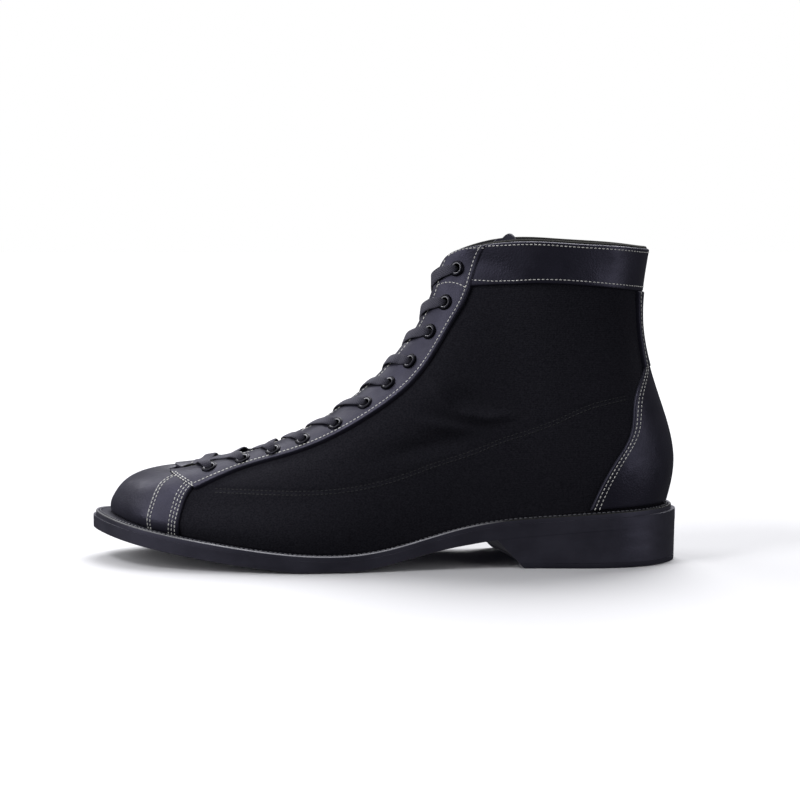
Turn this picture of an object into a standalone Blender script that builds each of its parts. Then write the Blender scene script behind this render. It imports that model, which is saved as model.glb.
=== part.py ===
"""Left ankle boot, laced nearly to the toe.

Metres, +Z up. The toe points to -X and the outer side of the foot to -Y. The origin is on the floor, under
the middle of the sole. Sizes are in millimetres until a mesh is made.
"""

import math

import bmesh
import bpy
import numpy as np
from mathutils import Matrix, Vector

MM = 0.001

# Driving sizes
LENGTH = 307.2  # outsole, toe to back of heel
BALL_WIDTH = 104.0  # outsole at the ball
COLLAR_HEIGHT = 166.8  # floor to the top of the collar
WALL = 2.0  # canvas and lining of the upper
OVERLAY = 1.2  # leather sewn over the upper
EYESTAY = 1.5  # leather and backing along the throat
TONGUE = 2.0
TONGUE_GAP = 1.35  # between the tongue and the upper
SEAT_GAP = 0.3  # between pieces that touch
PANEL_GAP = 0.5  # under the leather sewn on the upper
RIM_GAP = 0.4  # between the welt and what stands on it
WELT = 3.0
INSOLE = 4.5

# Outsole and heel
SOLE_EDGE_RUN = 6.0  # width of the worn round along the outsole's lower edge
SOLE_EDGE_RISE = 1.8
WELT_CHAMFER = 0.8
WELT_INSET = 1.2  # from the outsole's edge in to the welt's
HEEL_TAPER = 1.6  # how much smaller the heel is at the floor
HEEL_ROWS = 14
# The heel's slanted front face meets the sole's edge at these x, on the outer and the inner side.
HEEL_BREAST = {"top": (58.6, 45.0), "floor": (72.6, 59.0)}
BREAST_HOLLOW = 2.5  # how far that face curves in between its ends
FLAT_EDGE = (21.0, 45.0)  # x from where to where the outsole's lower edge turns square, at the heel

# Eyelets and lace
EYELET_ROWS = 11
EYELET_SPAN = (0.09, 0.945)  # shares of the eyestay's length at the first and the last row
EYELET_ACROSS = ((0.43, 0.70), (0.60, 0.51), (0.86, 0.49), (0.95, 0.57))  # share of length, share of width
EYELET_SIDES = 7
FLANGE_RADIUS = 4.3
BARREL_RADIUS = 2.9
BORE_RADIUS = 2.3
BORE_FLARE = 0.2  # how much wider the bore is at the top
PUNCH_RADIUS = 3.8  # hole in the leather and canvas
PUNCH_SIDES = 5
FLANGE_HEIGHT = 0.75
LACE_WIDTH = 6.2
LACE_THICKNESS = 1.1
PUNCH_DEPTH = 14.0
EDGE_SHARE = 0.72  # where a crossing goes over the throat's edge, from one row of eyelets to the next
TUCK_SHARE = 0.45  # where it ends, from the middle of the throat to the far edge
CROSS_LIFTS = (-1.2, 1.4)  # of the first and the last crossing's middle over the throat
BAR_LIFT = 1.4
LACE_CLEARANCES = (1.1, 1.1, 1.0)  # under the lace at the eyelet, half way and at the throat's edge

# Heights along the sole: percent of LENGTH from the toe, then the top of the welt and the underside of the
# outsole, mm over the floor. Where the underside would be below 0 the sole lies flat.
SOLE_HEIGHTS = (
    (0.0, 25.0, 15.0),
    (8.2, 20.9, 11.0),
    (16.1, 16.9, 7.0),
    (24.5, 13.3, 3.4),
    (33.0, 10.3, 0.6),
    (40.4, 8.9, -1.0),
    (47.9, 10.0, 0.8),
    (54.8, 14.4, 5.6),
    (61.8, 20.2, 11.0),
    (68.7, 24.3, 14.8),
    (78.2, 26.8, 17.6),
    (89.6, 29.0, 20.2),
    (100.0, 29.6, 21.2),
)

# One row for each section of the last, from the toe to the back of the heel.
#   along, top_along: percent of LENGTH from the toe, at the sole's edge and at the upper's top edge
#   outer, inner: percent of BALL_WIDTH from the long axis to the sole's edge
#   margin: from the sole's edge in to the upper, mm
#   centre, half_gap: middle and half width of the throat or collar, mm
#   top: height of the top edge, percent of COLLAR_HEIGHT
#   tilt: how much lower the inner side's top edge is, mm
#   crown: roundness of the section, 1 straight, 2 an ellipse
#   belly, waist, hollow: bulge at three heights, mm
#   steps: stations from this section to the next
SECTION_COLUMNS = (
    "along", "outer", "inner", "margin", "top_along", "centre", "half_gap", "top", "tilt",
    "crown", "belly", "waist", "hollow", "steps",
)
SECTIONS = {
    "toe": (0.0, -8.7, 8.7, 10.6, 15.0, 5.5, 0.0, 28.1, 0.0, 2.30, 0.6, 0.0, 0.0, 2),
    "toe_round": (2.2, 8.5, 24.8, 9.8, 15.3, 5.4, 4.4, 28.1, 0.0, 2.30, 0.8, 0.0, 0.0, 3),
    "toe_side": (7.8, 27.2, 37.4, 8.0, 16.3, 5.1, 8.2, 28.5, 0.0, 2.25, 1.2, 0.0, 0.0, 3),
    "cap": (17.2, 39.9, 46.3, 6.5, 20.4, 4.4, 10.5, 30.5, 1.4, 2.20, 1.6, 0.0, 0.0, 2),
    "ball_inner": (27.5, 47.4, 49.8, 5.8, 28.9, 3.0, 11.5, 35.2, 3.6, 2.15, 1.8, 0.0, 0.0, 2),
    "ball_outer": (37.9, 50.0, 45.7, 5.3, 37.9, 1.8, 11.5, 41.8, 3.8, 2.15, 1.8, 0.0, 0.0, 2),
    "vamp": (48.4, 45.9, 36.7, 4.6, 47.8, 0.8, 11.0, 52.5, 3.0, 2.25, 1.2, 0.0, 0.0, 3),
    "waist": (57.5, 39.9, 30.8, 3.6, 54.9, 0.3, 10.4, 66.0, 1.5, 2.40, 0.6, -0.5, 0.0, 3),
    "instep": (64.1, 36.5, 29.6, 3.4, 59.2, 0.0, 10.0, 83.0, 0.4, 2.50, 0.4, -1.0, -0.5, 4),
    "collar_front": (69.9, 35.0, 30.3, 3.4, 62.4, 0.0, 12.5, 95.7, 0.0, 2.30, 0.6, -0.8, -0.6, 4),
    "collar_fore": (75.1, 34.4, 31.7, 3.6, 70.5, 0.0, 27.5, 99.8, 0.0, 1.50, 1.2, 0.0, -0.5, 2),
    "ankle": (82.2, 34.6, 33.7, 4.2, 80.3, 0.0, 31.8, 99.6, 0.0, 1.10, 2.2, 1.0, -1.0, 2),
    "heel_side": (91.1, 31.7, 32.2, 5.8, 89.1, 0.0, 24.8, 98.6, 0.0, 1.00, 3.6, 0.8, -3.0, 3),
    "heel_corner": (97.5, 18.8, 19.2, 6.5, 93.5, 0.0, 12.0, 97.7, 0.0, 1.00, 4.6, 0.2, -5.4, 3),
    "heel": (100.0, 0.0, 0.0, 6.7, 94.7, 0.0, 0.0, 97.5, 0.0, 1.00, 5.4, 0.0, -6.3, 0),
}
BULGE_HEIGHTS = (0.15, 0.42, 0.70)  # where belly, waist and hollow lie, as shares of the height

# Shares of the overlays kept beside a neighbour
SEAM_KEPT = 0.96  # of the seam between toe cap and strap, below the eyestay
STRAP_START = 0.05  # of the strap's width, clear of the toe cap
BAND_START = 0.008  # of the band's half length, clear of the eyestay

# Edges of the overlays seen from the side: x and height, mm
CAP_SEAM = ((-120.4, 19.0), (-118.9, 32.0), (-114.9, 41.0), (-107.5, 46.8))
STRAP_SEAM = ((-103.9, 17.0), (-102.4, 29.0), (-99.9, 37.0), (-96.9, 43.0))
BAND_SEAM = ((45.6, 143.5), (68.1, 145.0), (101.1, 144.4), (123.1, 142.0), (134.1, 140.5))
BACK_STRAP_SEAM = ((134.2, 102.4), (131.7, 120.0), (130.6, 138.8))
COUNTER_SEAM = ((106.1, 29.5), (111.1, 41.0), (119.6, 56.0), (127.1, 70.0), (129.1, 86.0), (133.1, 101.0))

# The eyestay runs from the throat's edge, at the first x, down to a lower edge at the second x and a height.
EYESTAY_EDGES = (
    (-105.9, -96.9, 43.0),
    (-74.9, -70.9, 50.4),
    (-39.9, -34.9, 62.0),
    (-10.9, 0.1, 81.5),
    (13.1, 23.1, 103.5),
    (23.1, 36.1, 125.0),
    (30.1, 45.1, 146.0),
    (35.6, 51.6, 166.5),
)
# The tongue lies inside, wider than the throat, with the same columns. Its last row is its top edge.
TONGUE_EDGES = (
    (-102.9, -97.9, 41.0),
    (-74.9, -70.9, 46.5),
    (-39.9, -32.9, 57.0),
    (-10.9, 4.1, 74.0),
    (13.1, 30.1, 96.0),
    (23.1, 45.1, 119.0),
    (30.1, 57.1, 143.0),
    (35.6, 68.1, 167.0),
)
TONGUE_CROWN_RADIUS = 60.0  # how round the tongue is across the throat
# Columns of points over each half of the tongue, from its side edge to the throat: share of the half's width
# and rise of the top edge over the collar, mm. The raised corner shows on the outer side only.
TONGUE_COLUMNS = ((1.0, -2.0), (0.86, 4.0), (0.68, -2.0), (0.34, -3.0), (0.0, -3.0))

# Colour, roughness and metallic value of each material
MATERIALS = {
    "rubber": ((0.020, 0.019, 0.026), 0.55, 0.0),
    "leather": ((0.026, 0.025, 0.035), 0.45, 0.0),
    "canvas": ((0.009, 0.009, 0.011), 0.85, 0.0),
    "board": ((0.120, 0.100, 0.080), 0.80, 0.0),
    "enamel": ((0.030, 0.030, 0.034), 0.25, 0.8),
    "lace": ((0.038, 0.038, 0.055), 0.75, 0.0),
}

# Rows and columns of points on each piece of leather
PANEL_GRIDS = {
    "toe_cap": (19, 9),
    "strap": (9, 5),
    "eyestay": (21, 5),
    "collar_band": (33, 4),
    "back_strap": (7, 5),
    "heel_counter": (19, 8),
}
UP_STEPS = 9  # rows outside, from the welt to the top edge
INSIDE_SHARES = (1.0, 0.92, 0.84, 0.73, 0.52, 0.26, 0.0)  # rows inside, from the top edge down
PROFILE_STEPS = 72  # points on one section's curve
SLOPE_STEP = 0.012  # for measuring slopes of the upper
SEARCH_STEPS = 25  # places tried each way, in a search for a point on the upper
SEARCH_NARROWING = 0.2  # of the part searched, each time
SEARCH_END = 0.001
LOOKUP_STEPS = 400
EDGE_RUN_MOST = 1 / 6  # of the sole's width
SHARP_ANGLE = math.radians(40)
SAME_POINT = 1e-6  # metres
TONGUE_ROWS = 13
MIDDLE_STEPS = 4
LACE_STEPS = 6
SIDES = {"lateral": 1, "medial": -1}

# Columns of the last's table
EDGE = slice(0, 2)
TOP_PLAN = slice(2, 4)
TOP_X, TOP_Z, MARGIN = 2, 4, 5
CROWN = slice(6, 7)
BULGES = slice(7, 10)


# Curves

def spline(knots, values, period=0.0):
    """Smooth curve through one row of values at each knot. With a period it closes on itself."""
    knots = np.asarray(knots, float)
    values = np.asarray(values, float).reshape(len(knots), -1)
    if period:
        knots = np.append(knots, knots[0] + period)
        values = np.vstack([values, values[:1]])
    steps = np.diff(knots)
    rates = np.diff(values, axis=0) / steps[:, None]
    count = len(knots)
    matrix = np.zeros((count, count))
    right = np.zeros_like(values)
    for i in range(1, count - 1):
        before, after = steps[i - 1], steps[i]
        matrix[i, i - 1:i + 2] = after, 2 * (before + after), before
        right[i] = 3 * (after * rates[i - 1] + before * rates[i])
    if period:
        before, after = steps[-1], steps[0]
        matrix[0, [count - 2, 0, 1]] = after, 2 * (before + after), before
        right[0] = 3 * (after * rates[-1] + before * rates[0])
        matrix[-1, [0, count - 1]] = 1, -1
    else:
        matrix[0, :2] = 2, 1
        right[0] = 3 * rates[0]
        matrix[-1, -2:] = 1, 2
        right[-1] = 3 * rates[-1]
    slopes = np.linalg.solve(matrix, right)

    def curve(at):
        at = np.asarray(at, float)
        if period:
            at = knots[0] + (at - knots[0]) % period
        i = np.clip(np.searchsorted(knots, at, side="right") - 1, 0, count - 2)
        t = ((at - knots[i]) / steps[i])[..., None]
        width = steps[i][..., None]
        start = values[i] * (1 + 2 * t) * (1 - t) ** 2 + slopes[i] * width * t * (1 - t) ** 2
        end = values[i + 1] * t ** 2 * (3 - 2 * t) + slopes[i + 1] * width * t ** 2 * (t - 1)
        return start + end

    return curve


def distance_along(points):
    """Running length of a row of points, from 0 to 1."""
    lengths = np.linalg.norm(np.diff(points, axis=0), axis=1)
    return np.concatenate([[0.0], np.cumsum(lengths)]) / lengths.sum()


def from_percent(along):
    """x of a place given in percent of the length from the toe."""
    return LENGTH * (np.asarray(along, float) / 100 - 0.5)


# Sole and last

heights = np.array(SOLE_HEIGHTS)
sole_levels = spline(from_percent(heights[:, 0]), heights[:, 1:])


def sole_top(x):
    return sole_levels(x)[..., 0]


def sole_under(x):
    return np.maximum(sole_levels(x)[..., 1], 0.0)


def last_table():
    """Closed spline of the section values round the boot, 0 at the toe, 1 at the heel, and its stations."""
    rows = np.array(list(SECTIONS.values()))
    column = {name: rows[:, i] for i, name in enumerate(SECTION_COLUMNS)}
    edge_x = from_percent(column["along"])
    top_x = from_percent(column["top_along"])
    top_z = COLLAR_HEIGHT * column["top"] / 100
    shape = [column[name] for name in ("margin", "crown", "belly", "waist", "hollow")]

    def side(width, sign, drop):
        edge_y = sign * BALL_WIDTH * width / 100
        top_y = column["centre"] + sign * column["half_gap"]
        return np.column_stack([edge_x, edge_y, top_x, top_y, top_z - drop, *shape])

    outer, inner = side(column["outer"], -1, 0.0), side(column["inner"], 1, column["tilt"])
    knots = (distance_along(outer[:, :2]) + distance_along(inner[:, :2])) / 2
    loop_knots = np.concatenate([knots, 2 - knots[-2:0:-1]])
    loop_rows = np.vstack([outer, inner[-2:0:-1]])
    places = [np.linspace(a, b, int(n), endpoint=False) for a, b, n in zip(knots, knots[1:], column["steps"])]
    return spline(loop_knots, loop_rows, period=2.0), np.concatenate([*places, [1.0]])


last, half_stations = last_table()
all_stations = np.concatenate([half_stations, 2 - half_stations[-2:0:-1]])
bulge_knots = (0.0, *BULGE_HEIGHTS, 1.0)
bulge_shapes = spline(bulge_knots, np.eye(5)[:, 1:4])


def sole_edge(u, inset=0.0):
    """Outline of the sole at stations u, moved in by inset."""
    point = last(u)[..., EDGE]
    ahead = last(np.asarray(u) + SLOPE_STEP)[..., EDGE] - last(np.asarray(u) - SLOPE_STEP)[..., EDGE]
    outward = np.stack([ahead[..., 1], -ahead[..., 0]], axis=-1)
    outward /= np.linalg.norm(outward, axis=-1, keepdims=True)
    return point - outward * np.asarray(inset)[..., None], outward


def feather(u, inset=0.0):
    """Line where the upper meets the welt, moved in by inset."""
    return sole_edge(u, last(u)[..., MARGIN] + inset)


def wall_point(u, v):
    """Outer face of the upper. u runs round the boot and v from the welt, 0, to the top edge, 1."""
    u, v = np.broadcast_arrays(np.asarray(u, float), np.asarray(v, float))
    shape = u.shape
    u, v = u.ravel(), v.ravel()
    row = last(u)
    foot, outward = feather(u)
    foot_z = sole_top(foot[:, 0]) + RIM_GAP
    angle = np.linspace(0, math.pi / 2, PROFILE_STEPS + 1)
    power = 2 / row[:, CROWN]
    lean = 1 - np.cos(angle) ** power
    rise = np.sin(angle) ** power
    bulge = (bulge_shapes(rise) * row[:, None, BULGES]).sum(axis=-1)
    reach = row[:, TOP_PLAN] - foot
    plan = foot[:, None] + reach[:, None] * lean[..., None] + outward[:, None] * bulge[..., None]
    height = foot_z[:, None] + (row[:, TOP_Z] - foot_z)[:, None] * rise
    section = np.concatenate([plan, height[..., None]], axis=-1)
    lengths = np.linalg.norm(np.diff(section, axis=1), axis=-1)
    passed = np.concatenate([np.zeros((len(u), 1)), np.cumsum(lengths, axis=1)], axis=1)
    target = v * passed[:, -1]
    step = np.clip((passed < target[:, None]).sum(axis=1) - 1, 0, PROFILE_STEPS - 1)
    each = np.arange(len(u))
    share = (target - passed[each, step]) / lengths[each, step]
    point = section[each, step] + (section[each, step + 1] - section[each, step]) * share[:, None]
    return point.reshape(*shape, 3)


def wall_normal(u, v):
    """Outward direction of the upper's face. It is level at the welt, so that rims stay on the welt."""
    u, v = np.broadcast_arrays(np.asarray(u, float), np.asarray(v, float))
    around = wall_point(u + SLOPE_STEP, v) - wall_point(u - SLOPE_STEP, v)
    upward = wall_point(u, np.minimum(v + SLOPE_STEP, 1)) - wall_point(u, np.maximum(v - SLOPE_STEP, 0))
    normal = np.cross(around, upward)
    level = np.concatenate([feather(u)[1], np.zeros((*u.shape, 1))], axis=-1)
    normal = np.where((v <= 0)[..., None], level, normal)
    return normal / np.linalg.norm(normal, axis=-1, keepdims=True)


def skin(u, v, offset):
    """The upper's face moved outwards by offset, with its bottom rim kept just over the welt."""
    point = wall_point(u, v) + offset * wall_normal(u, v)
    rim = np.broadcast_to(np.asarray(v) <= 0, point.shape[:-1])
    point[..., 2] = np.where(rim, sole_top(point[..., 0]) + RIM_GAP, point[..., 2])
    return point


def locate(x, z):
    """Station and height share (u, v) of the outer side's point that is seen at x, z from the side."""
    u, v, reach = 0.5, 0.5, 0.5
    while reach > SEARCH_END:
        grid_u, grid_v = np.meshgrid(
            np.clip(np.linspace(u - reach, u + reach, SEARCH_STEPS), 0, 1),
            np.clip(np.linspace(v - reach, v + reach, SEARCH_STEPS), 0, 1),
        )
        seen = wall_point(grid_u, grid_v)
        best = np.argmin(np.hypot(seen[..., 0] - x, seen[..., 2] - z))
        u, v = grid_u.flat[best], grid_v.flat[best]
        reach *= SEARCH_NARROWING
    return u, v


def top_station(x):
    """Station whose top edge is at x, on the outer side."""
    u = np.linspace(0, 1, LOOKUP_STEPS)
    return float(np.interp(x, last(u)[:, TOP_X], u))


def seam(points, end=None):
    """Smooth line over the upper through points seen from the side, as (u, v) for a share of its length."""
    found = np.array([locate(x, z) for x, z in points])
    if end is not None:
        found[-1, 0] = end
    return spline(distance_along(wall_point(found[:, 0], found[:, 1])), found)


# Meshes

def new_object(name, mesh, material):
    obj = bpy.data.objects.new(name, mesh)
    bpy.context.scene.collection.objects.link(obj)
    if not mesh.materials:
        mesh.materials.append(material)
    obj.parent = bpy.data.objects["boot"]
    return obj


def close_mesh(name, points, faces):
    """Mesh in metres with doubled points merged and faces turned outwards."""
    mesh = bpy.data.meshes.new(name)
    mesh.from_pydata((np.asarray(points) * MM).tolist(), [], faces)
    build = bmesh.new()
    build.from_mesh(mesh)
    bmesh.ops.remove_doubles(build, verts=build.verts, dist=SAME_POINT)
    bmesh.ops.recalc_face_normals(build, faces=build.faces)
    build.to_mesh(mesh)
    build.free()
    mesh.shade_smooth()
    mesh.set_sharp_from_angle(angle=SHARP_ANGLE)
    return mesh


def ring_mesh(name, loops):
    """Closed band: the loops follow each other round its cross-section."""
    loops = np.asarray(loops)
    count, around = loops.shape[:2]
    faces = []
    for i in range(count):
        for j in range(around):
            ahead, beside = (i + 1) % count, (j + 1) % around
            faces.append((i * around + j, i * around + beside, ahead * around + beside, ahead * around + j))
    return close_mesh(name, loops.reshape(-1, 3), faces)


def sheet_mesh(name, upper_face, lower_face):
    """Closed sheet between two grids of points of the same size."""
    rows, columns = upper_face.shape[:2]
    points = np.concatenate([upper_face.reshape(-1, 3), lower_face.reshape(-1, 3)])
    other = rows * columns
    faces = []
    for i in range(rows - 1):
        for j in range(columns - 1):
            corner = i * columns + j
            quad = (corner, corner + columns, corner + columns + 1, corner + 1)
            faces.append(quad)
            faces.append(tuple(k + other for k in reversed(quad)))
    border = [(i, 0) for i in range(rows)]
    border += [(rows - 1, j) for j in range(1, columns)]
    border += [(i, columns - 1) for i in range(rows - 2, -1, -1)]
    border += [(0, j) for j in range(columns - 2, 0, -1)]
    rim = [i * columns + j for i, j in border]
    for a, b in zip(rim, rim[1:] + rim[:1]):
        faces.append((b, a, a + other, b + other))
    return close_mesh(name, points, faces)


def panel(name, place, grid, material, thickness=OVERLAY):
    """Overlay on the upper. place gives (u, v) for shares along and across it."""
    rows, columns = PANEL_GRIDS[grid]
    along, across = np.meshgrid(np.linspace(0, 1, rows), np.linspace(0, 1, columns), indexing="ij")
    u, v = place(along, across)
    outside = skin(u, v, PANEL_GAP + thickness)
    inside = skin(u, v, PANEL_GAP)
    return new_object(name, sheet_mesh(name, outside, inside), material)


def make_material(name):
    colour, roughness, metallic = MATERIALS[name]
    material = bpy.data.materials.new(name)
    material.use_nodes = True
    shader = material.node_tree.nodes["Principled BSDF"]
    shader.inputs["Base Color"].default_value = (*colour, 1.0)
    shader.inputs["Roughness"].default_value = roughness
    shader.inputs["Metallic"].default_value = metallic
    return material


# Sole

def across_sole(outer, inner):
    """Rows of points from the outer edge to the inner one, and how far each lies in from the nearer edge."""
    span = np.linalg.norm(inner - outer, axis=-1, keepdims=True)
    run = np.minimum(SOLE_EDGE_RUN, span * EDGE_RUN_MOST)
    inset = np.concatenate([0 * run, run, span / 2, span - run, span], axis=-1)
    shares = inset / np.maximum(span, 1e-9)
    points = outer[:, None] + (inner - outer)[:, None] * shares[..., None]
    return points, np.minimum(inset, span - inset)


def with_height(plan, height):
    return np.concatenate([plan, np.asarray(height)[..., None]], axis=-1)


def make_outsole(material):
    plan, inset = across_sole(sole_edge(half_stations)[0], sole_edge(-half_stations)[0])
    x = plan[..., 0]
    start, end = FLAT_EDGE
    rounding = np.clip((end - x) / (end - start), 0, 1)
    worn = SOLE_EDGE_RISE * rounding * (1 - np.minimum(inset / SOLE_EDGE_RUN, 1)) ** 2
    top = with_height(plan, sole_top(x) - WELT - SEAT_GAP)
    under = with_height(plan, sole_under(x) + worn)
    return new_object("outsole", sheet_mesh("outsole", top, under), material)


def make_welt(material):
    outline = sole_edge(all_stations, WELT_INSET)[0]
    shoulder = sole_edge(all_stations, WELT_INSET + WELT_CHAMFER)[0]
    bore = feather(all_stations, WALL + RIM_GAP)[0]
    loops = [
        with_height(outline, sole_top(outline[:, 0]) - WELT),
        with_height(outline, sole_top(outline[:, 0]) - WELT_CHAMFER),
        with_height(shoulder, sole_top(shoulder[:, 0])),
        with_height(bore, sole_top(bore[:, 0])),
        with_height(bore, sole_top(bore[:, 0]) - WELT),
    ]
    return new_object("welt", ring_mesh("welt", loops), material)


def make_insole(material):
    inset = WALL + 2 * RIM_GAP
    stations = half_stations[::2]
    plan, _ = across_sole(feather(stations, inset)[0], feather(-stations, inset)[0])
    low = sole_top(plan[..., 0]) - WELT
    top, under = with_height(plan, low + INSOLE), with_height(plan, low)
    return new_object("insole", sheet_mesh("insole", top, under), material)


def edge_station(x, side):
    """Station of the sole's edge at x, on the outer side, 1, or the inner one, -1."""
    u = np.linspace(0, 1, LOOKUP_STEPS)
    return side * float(np.interp(x, last(side * u)[:, 0], u))


def heel_layer(level, inset):
    """Rows of points across the heel, from its front face to its back, at its top or at the floor."""
    outer_x, inner_x = HEEL_BREAST[level]
    outer = np.linspace(edge_station(outer_x, 1), 1, HEEL_ROWS)
    inner = np.linspace(edge_station(inner_x, -1), -1, HEEL_ROWS)
    plan, from_edge = across_sole(sole_edge(outer, inset)[0], sole_edge(inner, inset)[0])
    share = from_edge[0] / from_edge[0].max()
    plan[0, :, 0] += BREAST_HOLLOW * share * (2 - share)
    return plan


def make_heel(material):
    top_plan = heel_layer("top", SEAT_GAP)
    floor_plan = heel_layer("floor", HEEL_TAPER)
    top = with_height(top_plan, sole_under(top_plan[..., 0]) - SEAT_GAP)
    floor = with_height(floor_plan, np.zeros(floor_plan.shape[:2]))
    return new_object("heel", sheet_mesh("heel", top, floor), material)


# Upper and what is sewn on it

def make_upper(material):
    outside = [skin(all_stations, v, 0.0) for v in np.linspace(0, 1, UP_STEPS + 1)]
    inside = [skin(all_stations, v, -WALL) for v in INSIDE_SHARES]
    return new_object("upper", ring_mesh("upper", outside + inside), material)


def between(first, second):
    """Panel between two lines over the upper: along them, and across from the first to the second."""
    def place(along, across):
        start, end = first(along), second(along)
        mixed = start + (end - start) * np.asarray(across)[..., None]
        return mixed[..., 0], mixed[..., 1]
    return place


def round_end(line, centre):
    """Panel round the toe, centre 0, or the heel, centre 1, between a line and its mirror image."""
    def place(along, across):
        edge = line(across)
        return centre + (edge[..., 0] - centre) * (1 - 2 * along), edge[..., 1]
    return place


def trimmed(place, along=(0.0, 1.0), across=(0.0, 1.0)):
    """The same panel, kept only between these shares of its length and width."""
    def kept(share_along, share_across):
        return place(
            along[0] + (along[1] - along[0]) * share_along,
            across[0] + (across[1] - across[0]) * share_across,
        )
    return kept


def inner_side(place):
    """The same panel on the inner side of the foot."""
    def mirrored(along, across):
        u, v = place(along, across)
        return -u, v
    return mirrored


def throat_lines(table):
    """Throat edge and lower edge of a strip along the throat."""
    rows = np.array(table)
    stations = np.array([top_station(x) for x in rows[:, 0]])
    top = np.column_stack([stations, np.ones(len(rows))])
    low = np.array([locate(x, z) for x, z in rows[:, 1:]])
    knots = distance_along(wall_point(top[:, 0], top[:, 1]))
    return spline(knots, top), spline(knots, low)


def make_toe_cap(material):
    place = trimmed(round_end(seam(CAP_SEAM), 0), across=(0.0, SEAM_KEPT))
    return panel("toe_cap", place, "toe_cap", material)


def make_straps(material):
    place = between(seam(CAP_SEAM), seam(STRAP_SEAM))
    place = trimmed(place, along=(0.0, SEAM_KEPT), across=(STRAP_START, 1.0))
    panel("strap_lateral", place, "strap", material)
    panel("strap_medial", inner_side(place), "strap", material)


def make_eyestays(material, punch):
    place = between(*throat_lines(EYESTAY_EDGES))
    for name, side_place in (("eyestay_lateral", place), ("eyestay_medial", inner_side(place))):
        eyestay = panel(name, side_place, "eyestay", material, EYESTAY)
        cut_with(eyestay, punch)


def make_collar_band(material):
    """Round the top from one eyestay to the other, past the back."""
    low_line = seam(BAND_SEAM, end=1.0)
    front_low = low_line(0.0)[0]
    front_top = top_station(EYESTAY_EDGES[-1][1])

    def place(along, across):
        reach = BAND_START + (1 - BAND_START) * (1 - np.abs(2 * along - 1))
        low = low_line(reach)
        passed = (low[..., 0] - front_low) / (1 - front_low)
        top = front_top + (1 - front_top) * passed
        u = low[..., 0] + (top - low[..., 0]) * across
        v = low[..., 1] + (1 - low[..., 1]) * across
        return np.where(along > 0.5, 2 - u, u), v

    return panel("collar_band", place, "collar_band", material)


def make_back(material):
    panel("back_strap", round_end(seam(BACK_STRAP_SEAM), 1), "back_strap", material)
    panel("heel_counter", round_end(seam(COUNTER_SEAM), 1), "heel_counter", material)


def make_tongue(material):
    """Sheet inside the throat: a wing under each eyestay, joined over the foot by a round middle."""
    wing = between(*throat_lines(TONGUE_EDGES))
    along = np.linspace(0, 1, TONGUE_ROWS)[:, None]
    across, top_rise = np.array(TONGUE_COLUMNS).T
    u, v = wing(along, across[None, :])
    middle = np.linspace(0, 1, MIDDLE_STEPS + 1)[1:-1][None, :, None]

    def face(depth):
        outer, inner = skin(u, v, -depth), skin(-u, v, -depth)[:, ::-1]
        start, end = outer[:, -1:], inner[:, :1]
        up = wall_normal(u[:, -1:], v[:, -1:]) + wall_normal(-u[:, -1:], v[:, -1:])
        up /= np.linalg.norm(up, axis=-1, keepdims=True)
        gap = np.linalg.norm(end - start, axis=-1, keepdims=True)
        crown = gap ** 2 / (2 * TONGUE_CROWN_RADIUS) * middle * (1 - middle)
        outer[-1, :, 2] += top_rise
        inner[-1, :, 2] += np.minimum(top_rise, 0)[::-1]
        bridge = start + (end - start) * middle + up * crown
        bridge[-1, :, 2] += top_rise[-1]
        return np.concatenate([outer, bridge, inner], axis=1)

    depth = WALL + TONGUE_GAP
    return new_object("tongue", sheet_mesh("tongue", face(depth), face(depth + TONGUE)), material)


# Eyelets and lace

def across_eyestay(rows):
    """Share of the eyestay's width, from the throat, where the eyelets at these shares of its length are."""
    return np.interp(rows, *np.array(EYELET_ACROSS).T)


def eyelet_frames(rows):
    """Centre and outward direction of each eyelet on the eyestay, for the outer and the inner side."""
    u, v = between(*throat_lines(EYESTAY_EDGES))(rows, across_eyestay(rows))
    lift = PANEL_GAP + EYESTAY + SEAT_GAP
    return {side: (skin(side * u, v, lift), wall_normal(side * u, v)) for side in SIDES.values()}


def turned_loops(profile, sides):
    """Loops of points round the z axis, one for each (radius, height)."""
    angle = np.linspace(0, 2 * math.pi, sides, endpoint=False)
    return [np.column_stack([r * np.cos(angle), r * np.sin(angle), np.full(sides, z)]) for r, z in profile]


def standing(point, direction):
    """Matrix that puts an upright mesh at a point of the upper, along its outward direction."""
    turn = Vector(direction).to_track_quat("Z", "X").to_matrix().to_4x4()
    return Matrix.Translation(Vector(point) * MM) @ turn


def make_punch(frames):
    """Pins that cut the eyelets' holes in leather and canvas."""
    build = bmesh.new()
    for points, directions in frames.values():
        for point, direction in zip(points, directions):
            bmesh.ops.create_cone(
                build, cap_ends=True, segments=PUNCH_SIDES, radius1=PUNCH_RADIUS * MM,
                radius2=PUNCH_RADIUS * MM, depth=PUNCH_DEPTH * MM, matrix=standing(point, direction),
            )
    mesh = bpy.data.meshes.new("punch")
    build.to_mesh(mesh)
    build.free()
    punch = bpy.data.objects.new("punch", mesh)
    bpy.context.scene.collection.objects.link(punch)
    hide_helper(punch)
    return punch


def hide_helper(obj):
    obj.hide_render = True
    obj.display_type = "WIRE"


def cut_with(obj, cutter, operation="DIFFERENCE"):
    cut = obj.modifiers.new(cutter.name, "BOOLEAN")
    cut.operation = operation
    cut.object = cutter
    cut.solver = "EXACT"


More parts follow.
